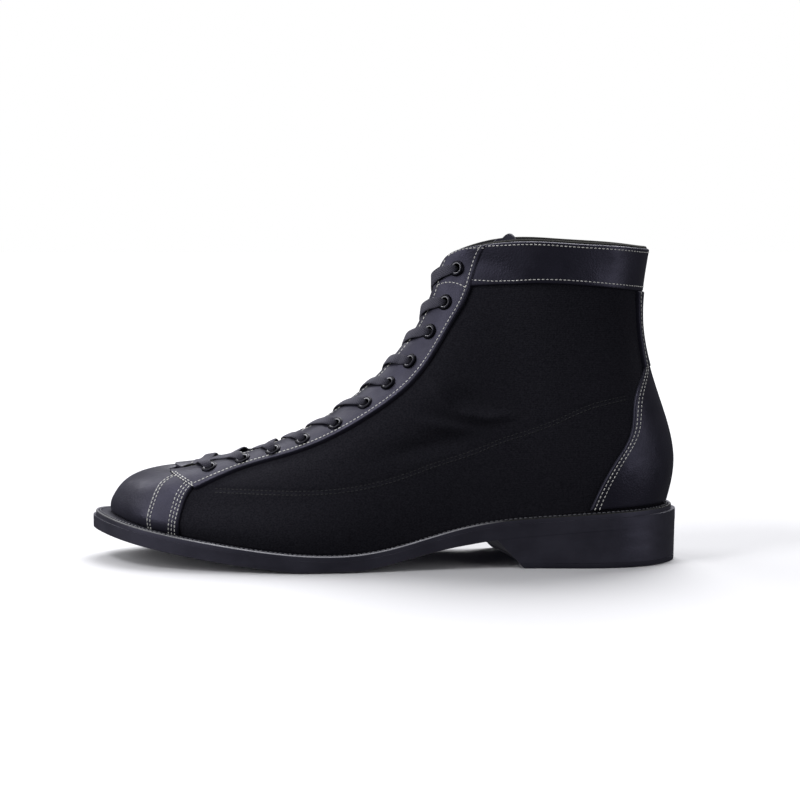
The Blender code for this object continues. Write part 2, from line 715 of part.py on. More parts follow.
def make_eyelets(frames, material):
    depth = PANEL_GAP + EYESTAY + WALL
    profile = (
        (BORE_RADIUS, -depth),
        (BARREL_RADIUS, -depth),
        (BARREL_RADIUS, 0.0),
        (FLANGE_RADIUS, 0.0),
        (BORE_RADIUS + BORE_FLARE, FLANGE_HEIGHT),
    )
    mesh = ring_mesh("eyelet", turned_loops(profile, EYELET_SIDES))
    for name, side in SIDES.items():
        for row, (point, direction) in enumerate(zip(*frames[side]), start=1):
            eyelet = new_object(f"eyelet_{name}_{row:02d}", mesh, material)
            eyelet.matrix_world = standing(point, direction)


def ribbon_mesh(name, points, normals):
    """Flat lace along points, lying square to the normals given at them."""
    points, normals = np.array(points), np.array(normals)
    knots = distance_along(points)
    share = np.linspace(0, 1, LACE_STEPS + 1)
    path, up = spline(knots, points)(share), spline(knots, normals)(share)
    ahead = np.gradient(path, axis=0)
    beside = np.cross(ahead, up)
    beside *= LACE_WIDTH / 2 / np.linalg.norm(beside, axis=-1, keepdims=True)
    up = np.cross(beside, ahead)
    up *= LACE_THICKNESS / 2 / np.linalg.norm(up, axis=-1, keepdims=True)
    above = np.stack([path + up - beside, path + up + beside], axis=1)
    below = np.stack([path - up - beside, path - up + beside], axis=1)
    return sheet_mesh(name, above, below)


def throat_frame(rows):
    """Middle of the throat, its two edges and its outward direction, for shares of the eyestay's length."""
    stations = throat_lines(EYESTAY_EDGES)[0](rows)[:, 0]
    edges = {side: wall_point(side * stations, 1.0) for side in SIDES.values()}
    outward = sum(wall_normal(side * stations, np.ones(len(rows))) for side in SIDES.values())
    outward /= np.linalg.norm(outward, axis=-1, keepdims=True)
    span = np.linalg.norm(edges[1] - edges[-1], axis=-1, keepdims=True)
    middle = (edges[1] + edges[-1]) / 2 + outward * span ** 2 / (8 * TONGUE_CROWN_RADIUS)
    return middle, edges, outward


def make_lace(rows, frames, material):
    """A bar over the first pair of eyelets, then a crossing up to each next pair."""
    lifts = np.array(LACE_CLEARANCES) + LACE_THICKNESS / 2
    over_eyelet = FLANGE_HEIGHT + lifts[0]
    over_leather = PANEL_GAP + EYESTAY + lifts[1:, None]
    middle, edges, outward = throat_frame(rows)
    cross_middle, _, cross_outward = throat_frame((rows[:-1] + rows[1:]) / 2)
    edge_rows = rows[:-1] + (rows[1:] - rows[:-1]) * EDGE_SHARE
    cross_lifts = np.linspace(*CROSS_LIFTS, EYELET_ROWS - 1)
    leather = between(*throat_lines(EYESTAY_EDGES))

    def over_side(side, row, edge_row):
        """Points and outward directions of a lace from an eyelet over the throat's edge."""
        along = np.array([(rows[row] + edge_row) / 2, edge_row])
        across = np.array([across_eyestay(rows[row]) / 2, 0.0])
        u, v = leather(along, across)
        u = side * u
        normals = wall_normal(u, v)
        eyelet, direction = frames[side][0][row], frames[side][1][row]
        points = [eyelet + direction * over_eyelet, *(wall_point(u, v) + normals * over_leather)]
        return points, [direction, *normals]

    outer, outer_normals = over_side(1, 0, rows[0])
    inner, inner_normals = over_side(-1, 0, rows[0])
    bar = [*outer, middle[0] + outward[0] * BAR_LIFT, *inner[::-1]]
    bar_normals = [*outer_normals, outward[0], *inner_normals[::-1]]
    new_object("lace_bar", ribbon_mesh("lace_bar", bar, bar_normals), material)

    for row in range(EYELET_ROWS - 1):
        arms = []
        for name, side in SIDES.items():
            points, normals = over_side(side, row + 1, edge_rows[row])
            centre = cross_middle[row] + cross_outward[row] * cross_lifts[row]
            end = middle[row] + (edges[-side][row] - middle[row]) * TUCK_SHARE
            points += [centre, end]
            normals += [cross_outward[row], outward[row]]
            mesh = ribbon_mesh(f"lace_{name}", points, normals)
            arms.append(new_object(f"lace_arm_{name}_{row + 1:02d}", mesh, material))
        arms[0].name = f"lace_cross_{row + 1:02d}"
        hide_helper(arms[1])
        cut_with(arms[0], arms[1], "UNION")


def main():
    for obj in list(bpy.data.objects):
        bpy.data.objects.remove(obj)
    boot = bpy.data.objects.new("boot", None)
    bpy.context.scene.collection.objects.link(boot)
    materials = {name: make_material(name) for name in MATERIALS}
    rows = np.linspace(*EYELET_SPAN, EYELET_ROWS)
    frames = eyelet_frames(rows)
    punch = make_punch(frames)
    make_outsole(materials["rubber"])
    make_heel(materials["rubber"])
    make_welt(materials["rubber"])
    make_insole(materials["board"])
    cut_with(make_upper(materials["canvas"]), punch)
    make_toe_cap(materials["leather"])
    make_straps(materials["leather"])
    make_eyestays(materials["leather"], punch)
    make_collar_band(materials["leather"])
    make_back(materials["leather"])
    make_tongue(materials["canvas"])
    make_eyelets(frames, materials["enamel"])
    make_lace(rows, frames, materials["lace"])


main()
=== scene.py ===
"""Looks of the left ankle boot: cloth, leather, stitches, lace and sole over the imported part.

Metres, +Z up, in the part's own frame. The toe points to -X and the outer side of the foot to -Y. Sizes are
in millimetres until a mesh is made. Each solid of the part is shown by a finer piece of the same form.
"""

import math

import bpy
import numpy as np
from mathutils import Matrix, Vector


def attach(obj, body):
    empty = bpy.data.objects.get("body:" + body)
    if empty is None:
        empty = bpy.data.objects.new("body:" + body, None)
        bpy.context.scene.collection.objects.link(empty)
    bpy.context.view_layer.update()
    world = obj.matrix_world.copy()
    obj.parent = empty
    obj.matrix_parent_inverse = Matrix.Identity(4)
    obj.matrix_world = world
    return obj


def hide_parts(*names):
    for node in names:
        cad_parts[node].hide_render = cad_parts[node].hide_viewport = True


MM = 0.001

# Camera
CAMERA_PLACE = (0.0090, -1.12, 0.190)
CAMERA_AIM = (0.0090, 0, 0.0833)
CAMERA_LENS = 96.6
CAMERA_SENSOR = 36.0

# Light: a soft ceiling light from behind, and panels round the boot with their place, size and power
ROOM_COLOUR = (0.90, 0.90, 1)
ROOM_LIGHT = 0.10
CEILING_LIGHT = 4.0
CEILING_WIDTH = math.radians(45)
CEILING_FROM = (0.15, 0.70, 1)
LIGHT_AIM = (0, 0, 0.06)
PANEL_LIGHTS = (
    ("left_panel", (-1, -0.50, 0.45), (0.8, 0.9), 8),
    ("right_panel", (1.1, -0.65, 0.25), (0.9, 1.1), 6),
    ("key_panel", (-0.60, -0.40, 1.05), (0.3, 0.3), 5),
    ("throat_panel", (-0.80, 0.40, 0.90), (0.8, 0.8), 7),
)

# The floor gets paler from the boot to the distance, where less light falls on it.
FLOOR_NEAR = (0.60, 0.60, 0.62)
FLOOR_FAR = (0.98, 0.98, 0.98)
FLOOR_SPREAD = (0.25, 0.95)  # distances, in metres
FLOOR_REACH = 6.0

# Driving sizes
LENGTH = 307.2  # outsole, toe to back of heel
BALL_WIDTH = 104.0  # outsole at the ball
COLLAR_HEIGHT = 166.8  # floor to the top of the collar
WALL = 2.0  # canvas and lining of the upper
TONGUE = 2.0
TONGUE_GAP = 1.35  # between the tongue and the upper
SEAT_GAP = 0.3  # between pieces that touch
RIM_GAP = 0.4  # between the welt and what stands on it
WELT = 3.0
INSOLE = 4.5
INSOLE_EDGE = (0, 0.6)  # insets of its outer rows of points

# Outsole and heel
SOLE_EDGE_RUN = 6.0  # width of the worn round along the outsole's lower edge
SOLE_EDGE_RISE = 1.0
SOLE_EDGE_SHARES = (0, 0.08, 0.2, 0.4, 0.7, 1)
# From the outsole's edge in to the welt's: station, from 0 at the toe to 1 at the heel, and inset
WELT_INSETS = ((0, 1.5), (0.05, 0.9), (0.14, 0.25), (0.86, 0.25), (0.94, 1.3), (1, 2.3))
HEEL_TOP_INSET = 0.1
HEEL_TAPER = 0.5  # how much smaller the heel is at the floor
# The heel's slanted front face meets the sole's edge at these x, on the outer and the inner side.
HEEL_BREAST = {"top": (58.6, 45), "floor": (72.6, 59)}
BREAST_HOLLOW = 2.5  # how far that face curves in between its ends
FLAT_EDGE = (21, 45)  # x from where to where the outsole's lower edge turns square, at the heel
OUTSOLE_CORNER = ((0, 0.12), (0.25, 0))  # inset and drop of the small round along its upper edge
# Inset and drop of the welt from its lower edge over its outer corner, and how deep the grooves are there
WELT_CORNER = (
    (0, 3, 0), (0, 0.55, 0), (0.1, 0.25, 0), (0.3, 0.06, 0), (0.7, 0, 0),
    (1.2, 0, 0.8), (2.2, 0, 1), (3, 0, 0.8), (3.4, 0, 0),
)
WELT_HIGHLIGHT_ROWS = 3  # of those, from the second on, carry a painted highlight
WELT_SHADED_ROWS = 4  # of those, up to the upper, are dark with painted shade for the crevice there
WELT_STEPS = 1500
GROOVE_PITCH = 2.5
GROOVE_DEPTH = 0.4
# Height over the floor and inset of the heel's side: its lower edge, the groove over the top piece, the rest
HEEL_SIDE = ((0, 0.7), (0.15, 0.25), (0.6, 0), (2.4, 0), (2.55, 0.22), (2.8, 0.22), (2.95, 0))
TOP_PIECE_SHADE_ROWS = 4  # of its faces, from the floor up, in darker rubber: painted shade along the heel's lower edge

# Eyelets and lace
EYELET_ROWS = 11
EYELET_SPAN = (0.09, 0.945)  # shares of the eyestay's length at the first and the last row
EYELET_ACROSS = ((0.43, 0.70), (0.60, 0.51), (0.86, 0.49), (0.95, 0.57))  # share of length, share of width
# Radius and height of an eyelet's turned shape, from the bottom of its bore over the flange
EYELET_PROFILE = (
    (2.35, -4), (2.35, -0.1), (2.5, 0.35), (2.85, 0.66), (3.3, 0.74), (3.75, 0.62), (4.15, 0.3),
    (4.3, -0.05),
)
EYELET_HIGHLIGHT_ROW = 4  # row of faces from the outside that is pale metal: a painted highlight on the eyelet's inner lip
EYELET_SIDES = 28
HOLE_RADIUS = 3.1  # in the leather and the canvas, under the flange
LACE_WIDTH = 6.2
LACE_THICKNESS = 1.15
# Where the first and the last crossing go over the throat's edge, from one row of eyelets to the next, and
# where all of them go under the other edge, with the end hidden there: share across the eyestay and of width
EDGE_SHARES = (0.38, 0.9)
TUCK_SHARE = 0.1
TUCK_ACROSS = 0.4
TUCK_WIDTH = 0.9
CROSS_LIFTS = (-2, -1.4)  # of the first and the last crossing's middle over the throat
BAR_LIFT = 2.6
# A lace on its way out of an eyelet: distance towards the throat, lift over the leather, share of its width,
# and tilt
LACE_RISE = ((0.9, -3.6, 0.55, 1), (1, -0.8, 0.6, 1), (2.5, 0.9, 0.8, 0.5), (4.9, 1.3, 0.95, 0))
LACE_POWERS = (0.55, 0.8)  # how square its section is across and up, 1 an ellipse
LACE_BUNCH = 0.6  # how much thicker it is where it is narrow
LACE_ON_LEATHER = 0.75  # lift of its middle over the leather

# Heights along the sole: percent of LENGTH from the toe, then the top of the welt and the underside of the
# outsole, mm over the floor. Where the underside would be below 0 the sole lies flat.
SOLE_HEIGHTS = (
    (0, 25, 15), (8.2, 20.9, 11), (16.1, 16.9, 7), (24.5, 13.3, 3.4), (33, 10.3, 0.6), (40.4, 8.9, -1),
    (47.9, 10, 0.8), (54.8, 14.4, 5.6), (61.8, 20.2, 11), (68.7, 24.3, 14.8), (78.2, 26.8, 17.6),
    (89.6, 29, 20.2), (100, 29.6, 21.2),
)

# One row for each section of the last, from the toe to the back of the heel.
#   along, top_along: percent of LENGTH from the toe, at the sole's edge and at the upper's top edge
#   outer, inner: percent of BALL_WIDTH from the long axis to the sole's edge
#   margin: from the sole's edge in to the upper, mm
#   centre, half_gap: middle and half width of the throat or collar, mm
#   top: height of the top edge, percent of COLLAR_HEIGHT
#   tilt: how much lower the inner side's top edge is, mm
#   crown: roundness of the section, 1 straight, 2 an ellipse
#   belly, waist, hollow: bulge at three heights, mm
SECTION_COLUMNS = (
    "along", "outer", "inner", "margin", "top_along", "centre", "half_gap", "top", "tilt",
    "crown", "belly", "waist", "hollow",
)
SECTIONS = {
    "toe": (0, -8.7, 8.7, 10.6, 15, 5.5, 0, 28.1, 0, 2.30, 0.6, 0, 0),
    "toe_round": (2.2, 8.5, 24.8, 9.8, 15.3, 5.4, 4.4, 28.1, 0, 2.30, 0.8, 0, 0),
    "toe_side": (7.8, 27.2, 37.4, 8, 16.3, 5.1, 8.2, 28.5, 0, 2.25, 1.2, 0, 0),
    "cap": (17.2, 39.9, 46.3, 6.5, 20.4, 4.4, 10.5, 30.5, 1.4, 2.20, 1.6, 0, 0),
    "ball_inner": (27.5, 47.4, 49.8, 5.8, 28.9, 3, 11.5, 35.2, 3.6, 2.15, 1.8, 0, 0),
    "ball_outer": (37.9, 50, 45.7, 5.3, 37.9, 1.8, 11.5, 41.8, 3.8, 2.15, 1.8, 0, 0),
    "vamp": (48.4, 45.9, 36.7, 4.6, 47.8, 0.8, 11, 52.5, 3, 2.25, 1.2, 0, 0),
    "waist": (57.5, 39.9, 30.8, 3.6, 54.9, 0.3, 10.4, 66, 1.5, 2.40, 0.6, -0.5, 0),
    "instep": (64.1, 36.5, 29.6, 3.4, 59.2, 0, 10, 83, 0.4, 2.50, 0.4, -1, -0.5),
    "collar_front": (69.9, 35, 30.3, 3.4, 62.4, 0, 12.5, 95.7, 0, 2.30, 0.6, -0.8, -0.6),
    "collar_fore": (75.1, 34.4, 31.7, 3.6, 70.5, 0, 27.5, 99.8, 0, 1.50, 1.2, 0, -0.5),
    "ankle": (82.2, 34.6, 33.7, 4.2, 80.3, 0, 31.8, 99.6, 0, 1.10, 2.2, 1, -1),
    "heel_side": (91.1, 31.7, 32.2, 5.8, 89.1, 0, 24.8, 98.6, 0, 1.00, 3.6, 0.8, -3),
    "heel_corner": (97.5, 18.8, 19.2, 6.5, 93.5, 0, 12, 97.7, 0, 1.00, 4.6, 0.2, -5.4),
    "heel": (100, 0, 0, 6.7, 94.7, 0, 0, 97.5, 0, 1.00, 5.4, 0, -6.3),
}
BULGE_HEIGHTS = (0.15, 0.42, 0.70)  # where belly, waist and hollow lie, as shares of the height

# Edges of the overlays seen from the side: x and height, mm
CAP_SEAM = ((-120.4, 19), (-118.9, 32), (-116.2, 39), (-112.8, 42.8), (-108.5, 44.8), (-103.5, 45.6))
CAP_END = ((-118.6, 18.6), (-117, 32), (-114, 39.6), (-110.4, 43.2), (-106.5, 45.6), (-103.5, 48.5))
STRAP_SEAM = ((-103.9, 17), (-102.4, 29), (-100.1, 36), (-97.4, 39.9), (-90.5, 45))
BAND_SEAM = (
    (40.6, 143), (47, 143.6), (54, 144.2), (61, 144.7), (68.1, 145), (101.1, 144.4), (123.1, 142),
    (134.1, 140.5),
)
BAND_TOP_START = 46.6  # x of its front end at the top edge, under the eyestay
BACK_STRAP_SEAM = ((134.6, 100.9), (131.7, 120), (130.5, 141.2))
COUNTER_SEAM = ((106.1, 29.5), (111.1, 41), (119.6, 56), (127.1, 70), (129.1, 86), (134.6, 101.8))
CANVAS_SEAM = (
    (-85.8, 40.9), (-36.4, 40.9), (-11.2, 43.4), (6.5, 47.5), (24.1, 53.5), (52.9, 63.1), (69.5, 69.2),
    (89.7, 76.7), (104.8, 83.3), (125, 87.8),
)
# How far the throat's edges stand out from the last: x of the edge, lift, mm
THROAT_FLARE = (
    (-107.5, -2), (-92, -1.4), (-70, -2), (-50, -1.3), (-36, -0.6), (-28, 0.2), (-12, 2),
    (0, 3.6), (8, 4.5), (14, 4.3), (21, 2.7), (33, 2.4), (46, 2), (68, 0),
)
FLARE_REACH = 14.0  # from the edge to where it starts
CANVAS_SEAM_DROPS = (0, 1.9)  # of its rows of stitches
CANVAS_SEAM_WIDTH = 1.1
CANVAS_SEAM_DEPTH = 0.3

# The eyestay runs from the throat's edge, at the first x, down to a lower edge at the second x and a height.
EYESTAY_EDGES = (
    (-105.9, -96.9, 43), (-74.9, -70.9, 50.4), (-39.9, -34.9, 62), (-10.9, 0.1, 81.5), (13.1, 23.1, 103.5),
    (23.1, 36.1, 125), (30.1, 45.1, 146), (35.6, 51.6, 166.5),
)
EYESTAY_FRONT = (-106.6, -95.4, 39.8)  # its first row where it lies over the strap, in front of the eyelets
EYESTAY_TOP = ((30.1, 46.4, 146), (35.6, 54.8, 166.5))  # its last rows where it lies over the collar band
# The tongue lies inside, wider than the throat, with the same columns. Its last row is its top edge.
TONGUE_EDGES = (
    (-102.9, -97.9, 41), (-74.9, -70.9, 46.5), (-39.9, -32.9, 57), (-10.9, 4.1, 74), (13.1, 30.1, 96),
    (23.1, 45.1, 119), (30.1, 57.1, 143), (35.6, 68.1, 167),
)
TONGUE_CROWN_RADIUS = 60.0  # how round the tongue is across the throat
# Rise of the tongue's top edge over the collar, mm, at shares of each half's width from the throat
TONGUE_RISE = ((0, -3), (0.34, -3), (0.68, -2), (0.86, 4), (1, -2))
TONGUE_RISE_START = 0.94  # share of the tongue's length where the top edge starts to rise

# Lift of each overlay's face over the canvas, mm
LIFTS = {
    "toe_cap": 1.1, "strap": 1.7, "eyestay": 2, "collar_band": 1.4, "back_strap": 2.2, "heel_counter": 1.7,
}
CUT_EDGES = {"strap": "pale_edge", "eyestay": "cut_edge"}  # materials of near edges that are cut, not folded
SUNK = 0.3  # of an overlay's border, into the canvas

# Creases of the canvas seen from the side: x, height, slope in degrees, half length, half width, lift, mm
CREASES = {
    1: (
        (31, 87.5, -46, 9, 2.6, 2.4),
        (44, 78.6, -14, 8, 2.4, 2.8),
        (57, 77.6, 4, 9, 2.4, 1.6),
        (43, 86.5, -22, 11, 4.5, -1.6),
        (32, 72.8, -10, 13, 2.6, 1.8),
        (33, 77.5, -22, 9, 2.6, -1),
        (22, 62.5, 10, 20, 5, -2),
    ),
    -1: (
        (30, 86, -40, 11, 3, 1.8),
        (46, 79, -8, 12, 2.8, 1.6),
        (40, 88, -22, 11, 4.5, -1.3),
        (20, 64, 8, 20, 5, -1.6),
    ),
}

COOL = (0.70, 0.68, 1, 1)  # tint of the gloss on black leather, rubber and canvas

# Stitches
STITCH_PITCH = 2.2
STITCH_LENGTH = 1.55
STITCH_RADIUS = 0.31
STITCH_SINK = 0.08  # of a stitch's middle under the leather
STITCH_SIDES = 6
# Places along a stitch and its thickness there, as shares
STITCH_SHAPE = ((-0.5, 0.15), (-0.4, 0.75), (-0.15, 1), (0.15, 1), (0.4, 0.75), (0.5, 0.15))
# Rows on each overlay: the edge they follow, inset from it, shares of the edge where they start and end
STITCH_ROWS = {
    "collar_band": (("near", 2.5, 0, 1), ("far", 1.9, 0, 1)),
    "back_strap": (("start", 2, 0, 1), ("finish", 2, 0, 1)),
    "heel_counter": (
        ("start", 1.9, 0, 1), ("start", 4, 0, 1), ("finish", 1.9, 0, 1), ("finish", 4, 0, 1),
    ),
    "strap": (
        ("near", 1.2, 0, 0.93), ("near", 2.9, 0, 0.95),
        ("far", 1.7, 0, 0.84), ("far", 3.4, 0, 0.86), ("far", 5.1, 0, 0.88),
    ),
    "eyestay": (
        ("near", 3.4, 0.06, 0.98), ("far", 2.6, 0, 1), ("start", 1, 0.56, 0.97), ("start", 3, 0.56, 0.93),
        ("finish", 2, 0.15, 1), ("finish", 18.2, 0.15, 0.9),
    ),
}
WELT_STITCH_PITCH = 2.5
WELT_STITCH_LENGTH = 1.8
WELT_STITCH_INSET = 2.3
WELT_HIGHLIGHT_REACH = 160.0  # from the middle to both ends of these tones
WELT_HIGHLIGHT_TONES = ((-150, 0.06), (-112, 0.12), (-85, 0.32), (25, 0.34), (48, 0.20), (64, 0.012))  # x and tone of the painted highlight, which turns to painted shade at the heel

# Fineness of the meshes
PROFILE_STEPS = 96  # points on one section's curve
SLOPE_STEP = 0.012  # for measuring slopes of the upper
SEARCH_STEPS = 25  # places tried each way, in a search for a point on the upper
SEARCH_NARROWING = 0.2  # of the part searched, each time
SEARCH_END = 0.001
LOOKUP_STEPS = 400
ROUND_STEPS = 440  # stations round the boot
UP_STEPS = 110  # rows outside, from the welt to the top edge
INSIDE_STEPS = 40
RIM_STEPS = 6
LEATHER_SPACING = 1.3
EDGE_ROUND = 0.8  # radius of the leather's edge
EDGE_STEPS = np.array((0, 0.12, 0.35, 0.65))  # places on that radius
CUT_ROWS = 4  # of faces along a cut edge
LINE_STEPS = 160
SHARES = np.linspace(0, 1, 41)  # where panels are measured
TONGUE_STEPS = (90, 28, 18)  # along it, across a wing, across the middle
SOLE_STEPS = 8
INSOLE_STEPS = 12
HEEL_SIDE_STEPS = 70
HEEL_FRONT_STEPS = 24
HEEL_UP_STEPS = 12
LACE_STEPS = 60
LACE_SIDES = 16
WAVE_RATE = 20.0  # radians a unit, in a wave texture of scale 1
TINY = 1e-9
SHARP_ANGLE = math.radians(38)
SIDES = {"lateral": 1, "medial": -1}

# Columns of the last's table
EDGE = slice(0, 2)
TOP_PLAN = slice(2, 4)
EDGE_X, TOP_X, TOP_Z, MARGIN = 0, 2, 4, 5
CROWN = slice(6, 7)
BULGES = slice(7, 10)

materials = {}  # by name, filled as they are made
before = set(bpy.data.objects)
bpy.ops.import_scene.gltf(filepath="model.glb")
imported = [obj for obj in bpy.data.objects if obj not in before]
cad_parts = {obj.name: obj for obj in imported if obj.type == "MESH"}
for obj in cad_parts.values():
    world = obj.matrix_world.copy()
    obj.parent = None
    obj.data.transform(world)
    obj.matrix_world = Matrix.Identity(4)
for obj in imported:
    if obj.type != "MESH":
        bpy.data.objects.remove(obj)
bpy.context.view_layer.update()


# Curves

def spline(knots, values, period=0.0):
    """Smooth curve through one row of values at each knot. With a period it closes on itself."""
    knots = np.asarray(knots, float)
    values = np.asarray(values, float).reshape(len(knots), -1)
    if period:
        knots = np.append(knots, knots[0] + period)
        values = np.vstack([values, values[:1]])
    steps = np.diff(knots)
    rates = np.diff(values, axis=0) / steps[:, None]
    count = len(knots)
    matrix = np.zeros((count, count))
    right = np.zeros_like(values)
    for i in range(0 if period else 1, count - 1):
        before, after = steps[i - 1], steps[i]
        matrix[i, [(i - 1) % (count - 1), i, i + 1]] = after, 2 * (before + after), before
        right[i] = 3 * (after * rates[i - 1] + before * rates[i])
    if period:
        matrix[-1, [0, count - 1]] = 1, -1
    else:
        matrix[0, :2] = 2, 1
        right[0] = 3 * rates[0]
        matrix[-1, -2:] = 1, 2
        right[-1] = 3 * rates[-1]
    slopes = np.linalg.solve(matrix, right)

    def curve(at):
        at = np.asarray(at, float)
        if period:
            at = knots[0] + (at - knots[0]) % period
        i = np.clip(np.searchsorted(knots, at, side="right") - 1, 0, count - 2)
        t = ((at - knots[i]) / steps[i])[..., None]
        width = steps[i][..., None]
        start = values[i] * (1 + 2 * t) * (1 - t) ** 2 + slopes[i] * width * t * (1 - t) ** 2
        end = values[i + 1] * t ** 2 * (3 - 2 * t) + slopes[i + 1] * width * t ** 2 * (t - 1)
        return start + end

    return curve


def unit(vectors):
    return vectors / np.linalg.norm(vectors, axis=-1, keepdims=True)


def distance_along(points):
    """Running length of a row of points, from 0 to 1."""
    lengths = np.linalg.norm(np.diff(points, axis=0), axis=1)
    return np.concatenate([[0.0], np.cumsum(lengths)]) / lengths.sum()


def smooth_step(share):
    share = np.clip(share, 0, 1)
    return share * share * (3 - 2 * share)


def from_percent(along):
    """x of a place given in percent of the length from the toe."""
    return LENGTH * (np.asarray(along, float) / 100 - 0.5)


# Sole and last

heights = np.array(SOLE_HEIGHTS)
sole_levels = spline(from_percent(heights[:, 0]), heights[:, 1:])


def sole_top(x):
    return sole_levels(x)[..., 0]


def sole_under(x):
    return np.maximum(sole_levels(x)[..., 1], 0.0)


def last_table():
    """Closed spline of the section values round the boot, 0 at the toe and 1 at the heel."""
    rows = np.array(list(SECTIONS.values()))
    column = {name: rows[:, i] for i, name in enumerate(SECTION_COLUMNS)}
    edge_x = from_percent(column["along"])
    top_x = from_percent(column["top_along"])
    top_z = COLLAR_HEIGHT * column["top"] / 100
    shape = [column[name] for name in ("margin", "crown", "belly", "waist", "hollow")]

    def side(width, sign, drop):
        edge_y = sign * BALL_WIDTH * width / 100
        top_y = column["centre"] + sign * column["half_gap"]
        return np.column_stack([edge_x, edge_y, top_x, top_y, top_z - drop, *shape])

    outer, inner = side(column["outer"], -1, 0.0), side(column["inner"], 1, column["tilt"])
    knots = (distance_along(outer[:, :2]) + distance_along(inner[:, :2])) / 2
    loop_knots = np.concatenate([knots, 2 - knots[-2:0:-1]])
    return spline(loop_knots, np.vstack([outer, inner[-2:0:-1]]), period=2.0)


last = last_table()
bulge_knots = (0.0, *BULGE_HEIGHTS, 1.0)
bulge_shapes = spline(bulge_knots, np.eye(5)[:, 1:4])
all_stations = np.linspace(0, 2, ROUND_STEPS, endpoint=False)
half_stations = np.linspace(0, 1, ROUND_STEPS // 2 + 1)


def sole_edge(u, inset=0.0):
    """Outline of the sole at stations u, moved in by inset."""
    point = last(u)[..., EDGE]
    ahead = last(np.asarray(u) + SLOPE_STEP)[..., EDGE] - last(np.asarray(u) - SLOPE_STEP)[..., EDGE]
    outward = unit(np.stack([ahead[..., 1], -ahead[..., 0]], axis=-1))
    return point - outward * np.asarray(inset)[..., None], outward


def feather(u, inset=0.0):
    """Line where the upper meets the welt, moved in by inset."""
    return sole_edge(u, last(u)[..., MARGIN] + inset)


def wall_point(u, v):
    """Outer face of the upper. u runs round the boot and v from the welt, 0, to the top edge, 1."""
    u, v = np.broadcast_arrays(np.asarray(u, float), np.asarray(v, float))
    shape = u.shape
    u, v = u.ravel(), v.ravel()
    row = last(u)
    foot, outward = feather(u)
    foot_z = sole_top(foot[:, 0]) + RIM_GAP
    angle = np.linspace(0, math.pi / 2, PROFILE_STEPS + 1)
    power = 2 / row[:, CROWN]
    lean = 1 - np.cos(angle) ** power
    rise = np.sin(angle) ** power
    bulge = (bulge_shapes(rise) * row[:, None, BULGES]).sum(axis=-1)
    reach = row[:, TOP_PLAN] - foot
    plan = foot[:, None] + reach[:, None] * lean[..., None] + outward[:, None] * bulge[..., None]
    height = foot_z[:, None] + (row[:, TOP_Z] - foot_z)[:, None] * rise
    section = np.concatenate([plan, height[..., None]], axis=-1)
    lengths = np.linalg.norm(np.diff(section, axis=1), axis=-1)
    passed = np.concatenate([np.zeros((len(u), 1)), np.cumsum(lengths, axis=1)], axis=1)
    target = v * passed[:, -1]
    step = np.clip((passed < target[:, None]).sum(axis=1) - 1, 0, PROFILE_STEPS - 1)
    each = np.arange(len(u))
    share = (target - passed[each, step]) / lengths[each, step]
    point = section[each, step] + (section[each, step + 1] - section[each, step]) * share[:, None]
    return point.reshape(*shape, 3)


def wall_normal(u, v):
    """Outward direction of the upper's face. It is level at the welt, so that rims stay on the welt."""
    u, v = np.broadcast_arrays(np.asarray(u, float), np.asarray(v, float))
    around = wall_point(u + SLOPE_STEP, v) - wall_point(u - SLOPE_STEP, v)
    upward = wall_point(u, np.minimum(v + SLOPE_STEP, 1)) - wall_point(u, np.maximum(v - SLOPE_STEP, 0))
    level = np.concatenate([feather(u)[1], np.zeros((*u.shape, 1))], axis=-1)
    return unit(np.where((v <= 0)[..., None], level, np.cross(around, upward)))


def crease_lift(point, u):
    """Soft ridges and troughs of the canvas, and the dip of its long seam, at points of the upper."""
    x, z = point[..., 0], point[..., 2]
    outer = np.asarray(u) % 2 < 1
    lift = np.zeros(x.shape)
    for side, creases in CREASES.items():
        on_side = outer if side > 0 else ~outer
        for at_x, at_z, slope, length, width, height in creases:
            cos, sin = math.cos(math.radians(slope)), math.sin(math.radians(slope))
            along = ((x - at_x) * cos + (z - at_z) * sin) / length
            across = ((z - at_z) * cos - (x - at_x) * sin) / width
            lift += on_side * height * np.exp(-along ** 2 - across ** 2)
    seam_x, seam_z = np.array(CANVAS_SEAM).T
    from_seam = (z - np.interp(x, seam_x, seam_z)) / CANVAS_SEAM_WIDTH
    on_seam = (x > seam_x[0]) & (x < seam_x[-1])
    return lift - on_seam * CANVAS_SEAM_DEPTH * np.exp(-from_seam ** 2)


def throat_flare(point, u):
    """Lift of the throat's edges, at points of the upper."""
    from_edge = np.linalg.norm(wall_point(u, 1.0) - point, axis=-1)
    at_edge = np.interp(last(u)[..., TOP_X], *np.array(THROAT_FLARE).T)
    return at_edge * smooth_step(1 - from_edge / FLARE_REACH)


def skin(u, v, offset):
    """The creased upper's face moved outwards by offset, with its bottom rim kept just over the welt."""
    point = wall_point(u, v)
    lift = np.asarray(offset) + crease_lift(point, u) + throat_flare(point, u)
    point = point + lift[..., None] * wall_normal(u, v)
    rim = np.broadcast_to(np.asarray(v) <= 0, point.shape[:-1])
    point[..., 2] = np.where(rim, sole_top(point[..., 0]) + RIM_GAP, point[..., 2])
    return point


def locate(x, z):
    """Station and height share (u, v) of the outer side's point that is seen at x, z from the side."""
    u, v, reach = 0.5, 0.5, 0.5
    while reach > SEARCH_END:
        grid_u, grid_v = np.meshgrid(
            np.clip(np.linspace(u - reach, u + reach, SEARCH_STEPS), 0, 1),
            np.clip(np.linspace(v - reach, v + reach, SEARCH_STEPS), 0, 1),
        )
        seen = wall_point(grid_u, grid_v)
        best = np.argmin(np.hypot(seen[..., 0] - x, seen[..., 2] - z))
        u, v = grid_u.flat[best], grid_v.flat[best]
        reach *= SEARCH_NARROWING
    return u, v


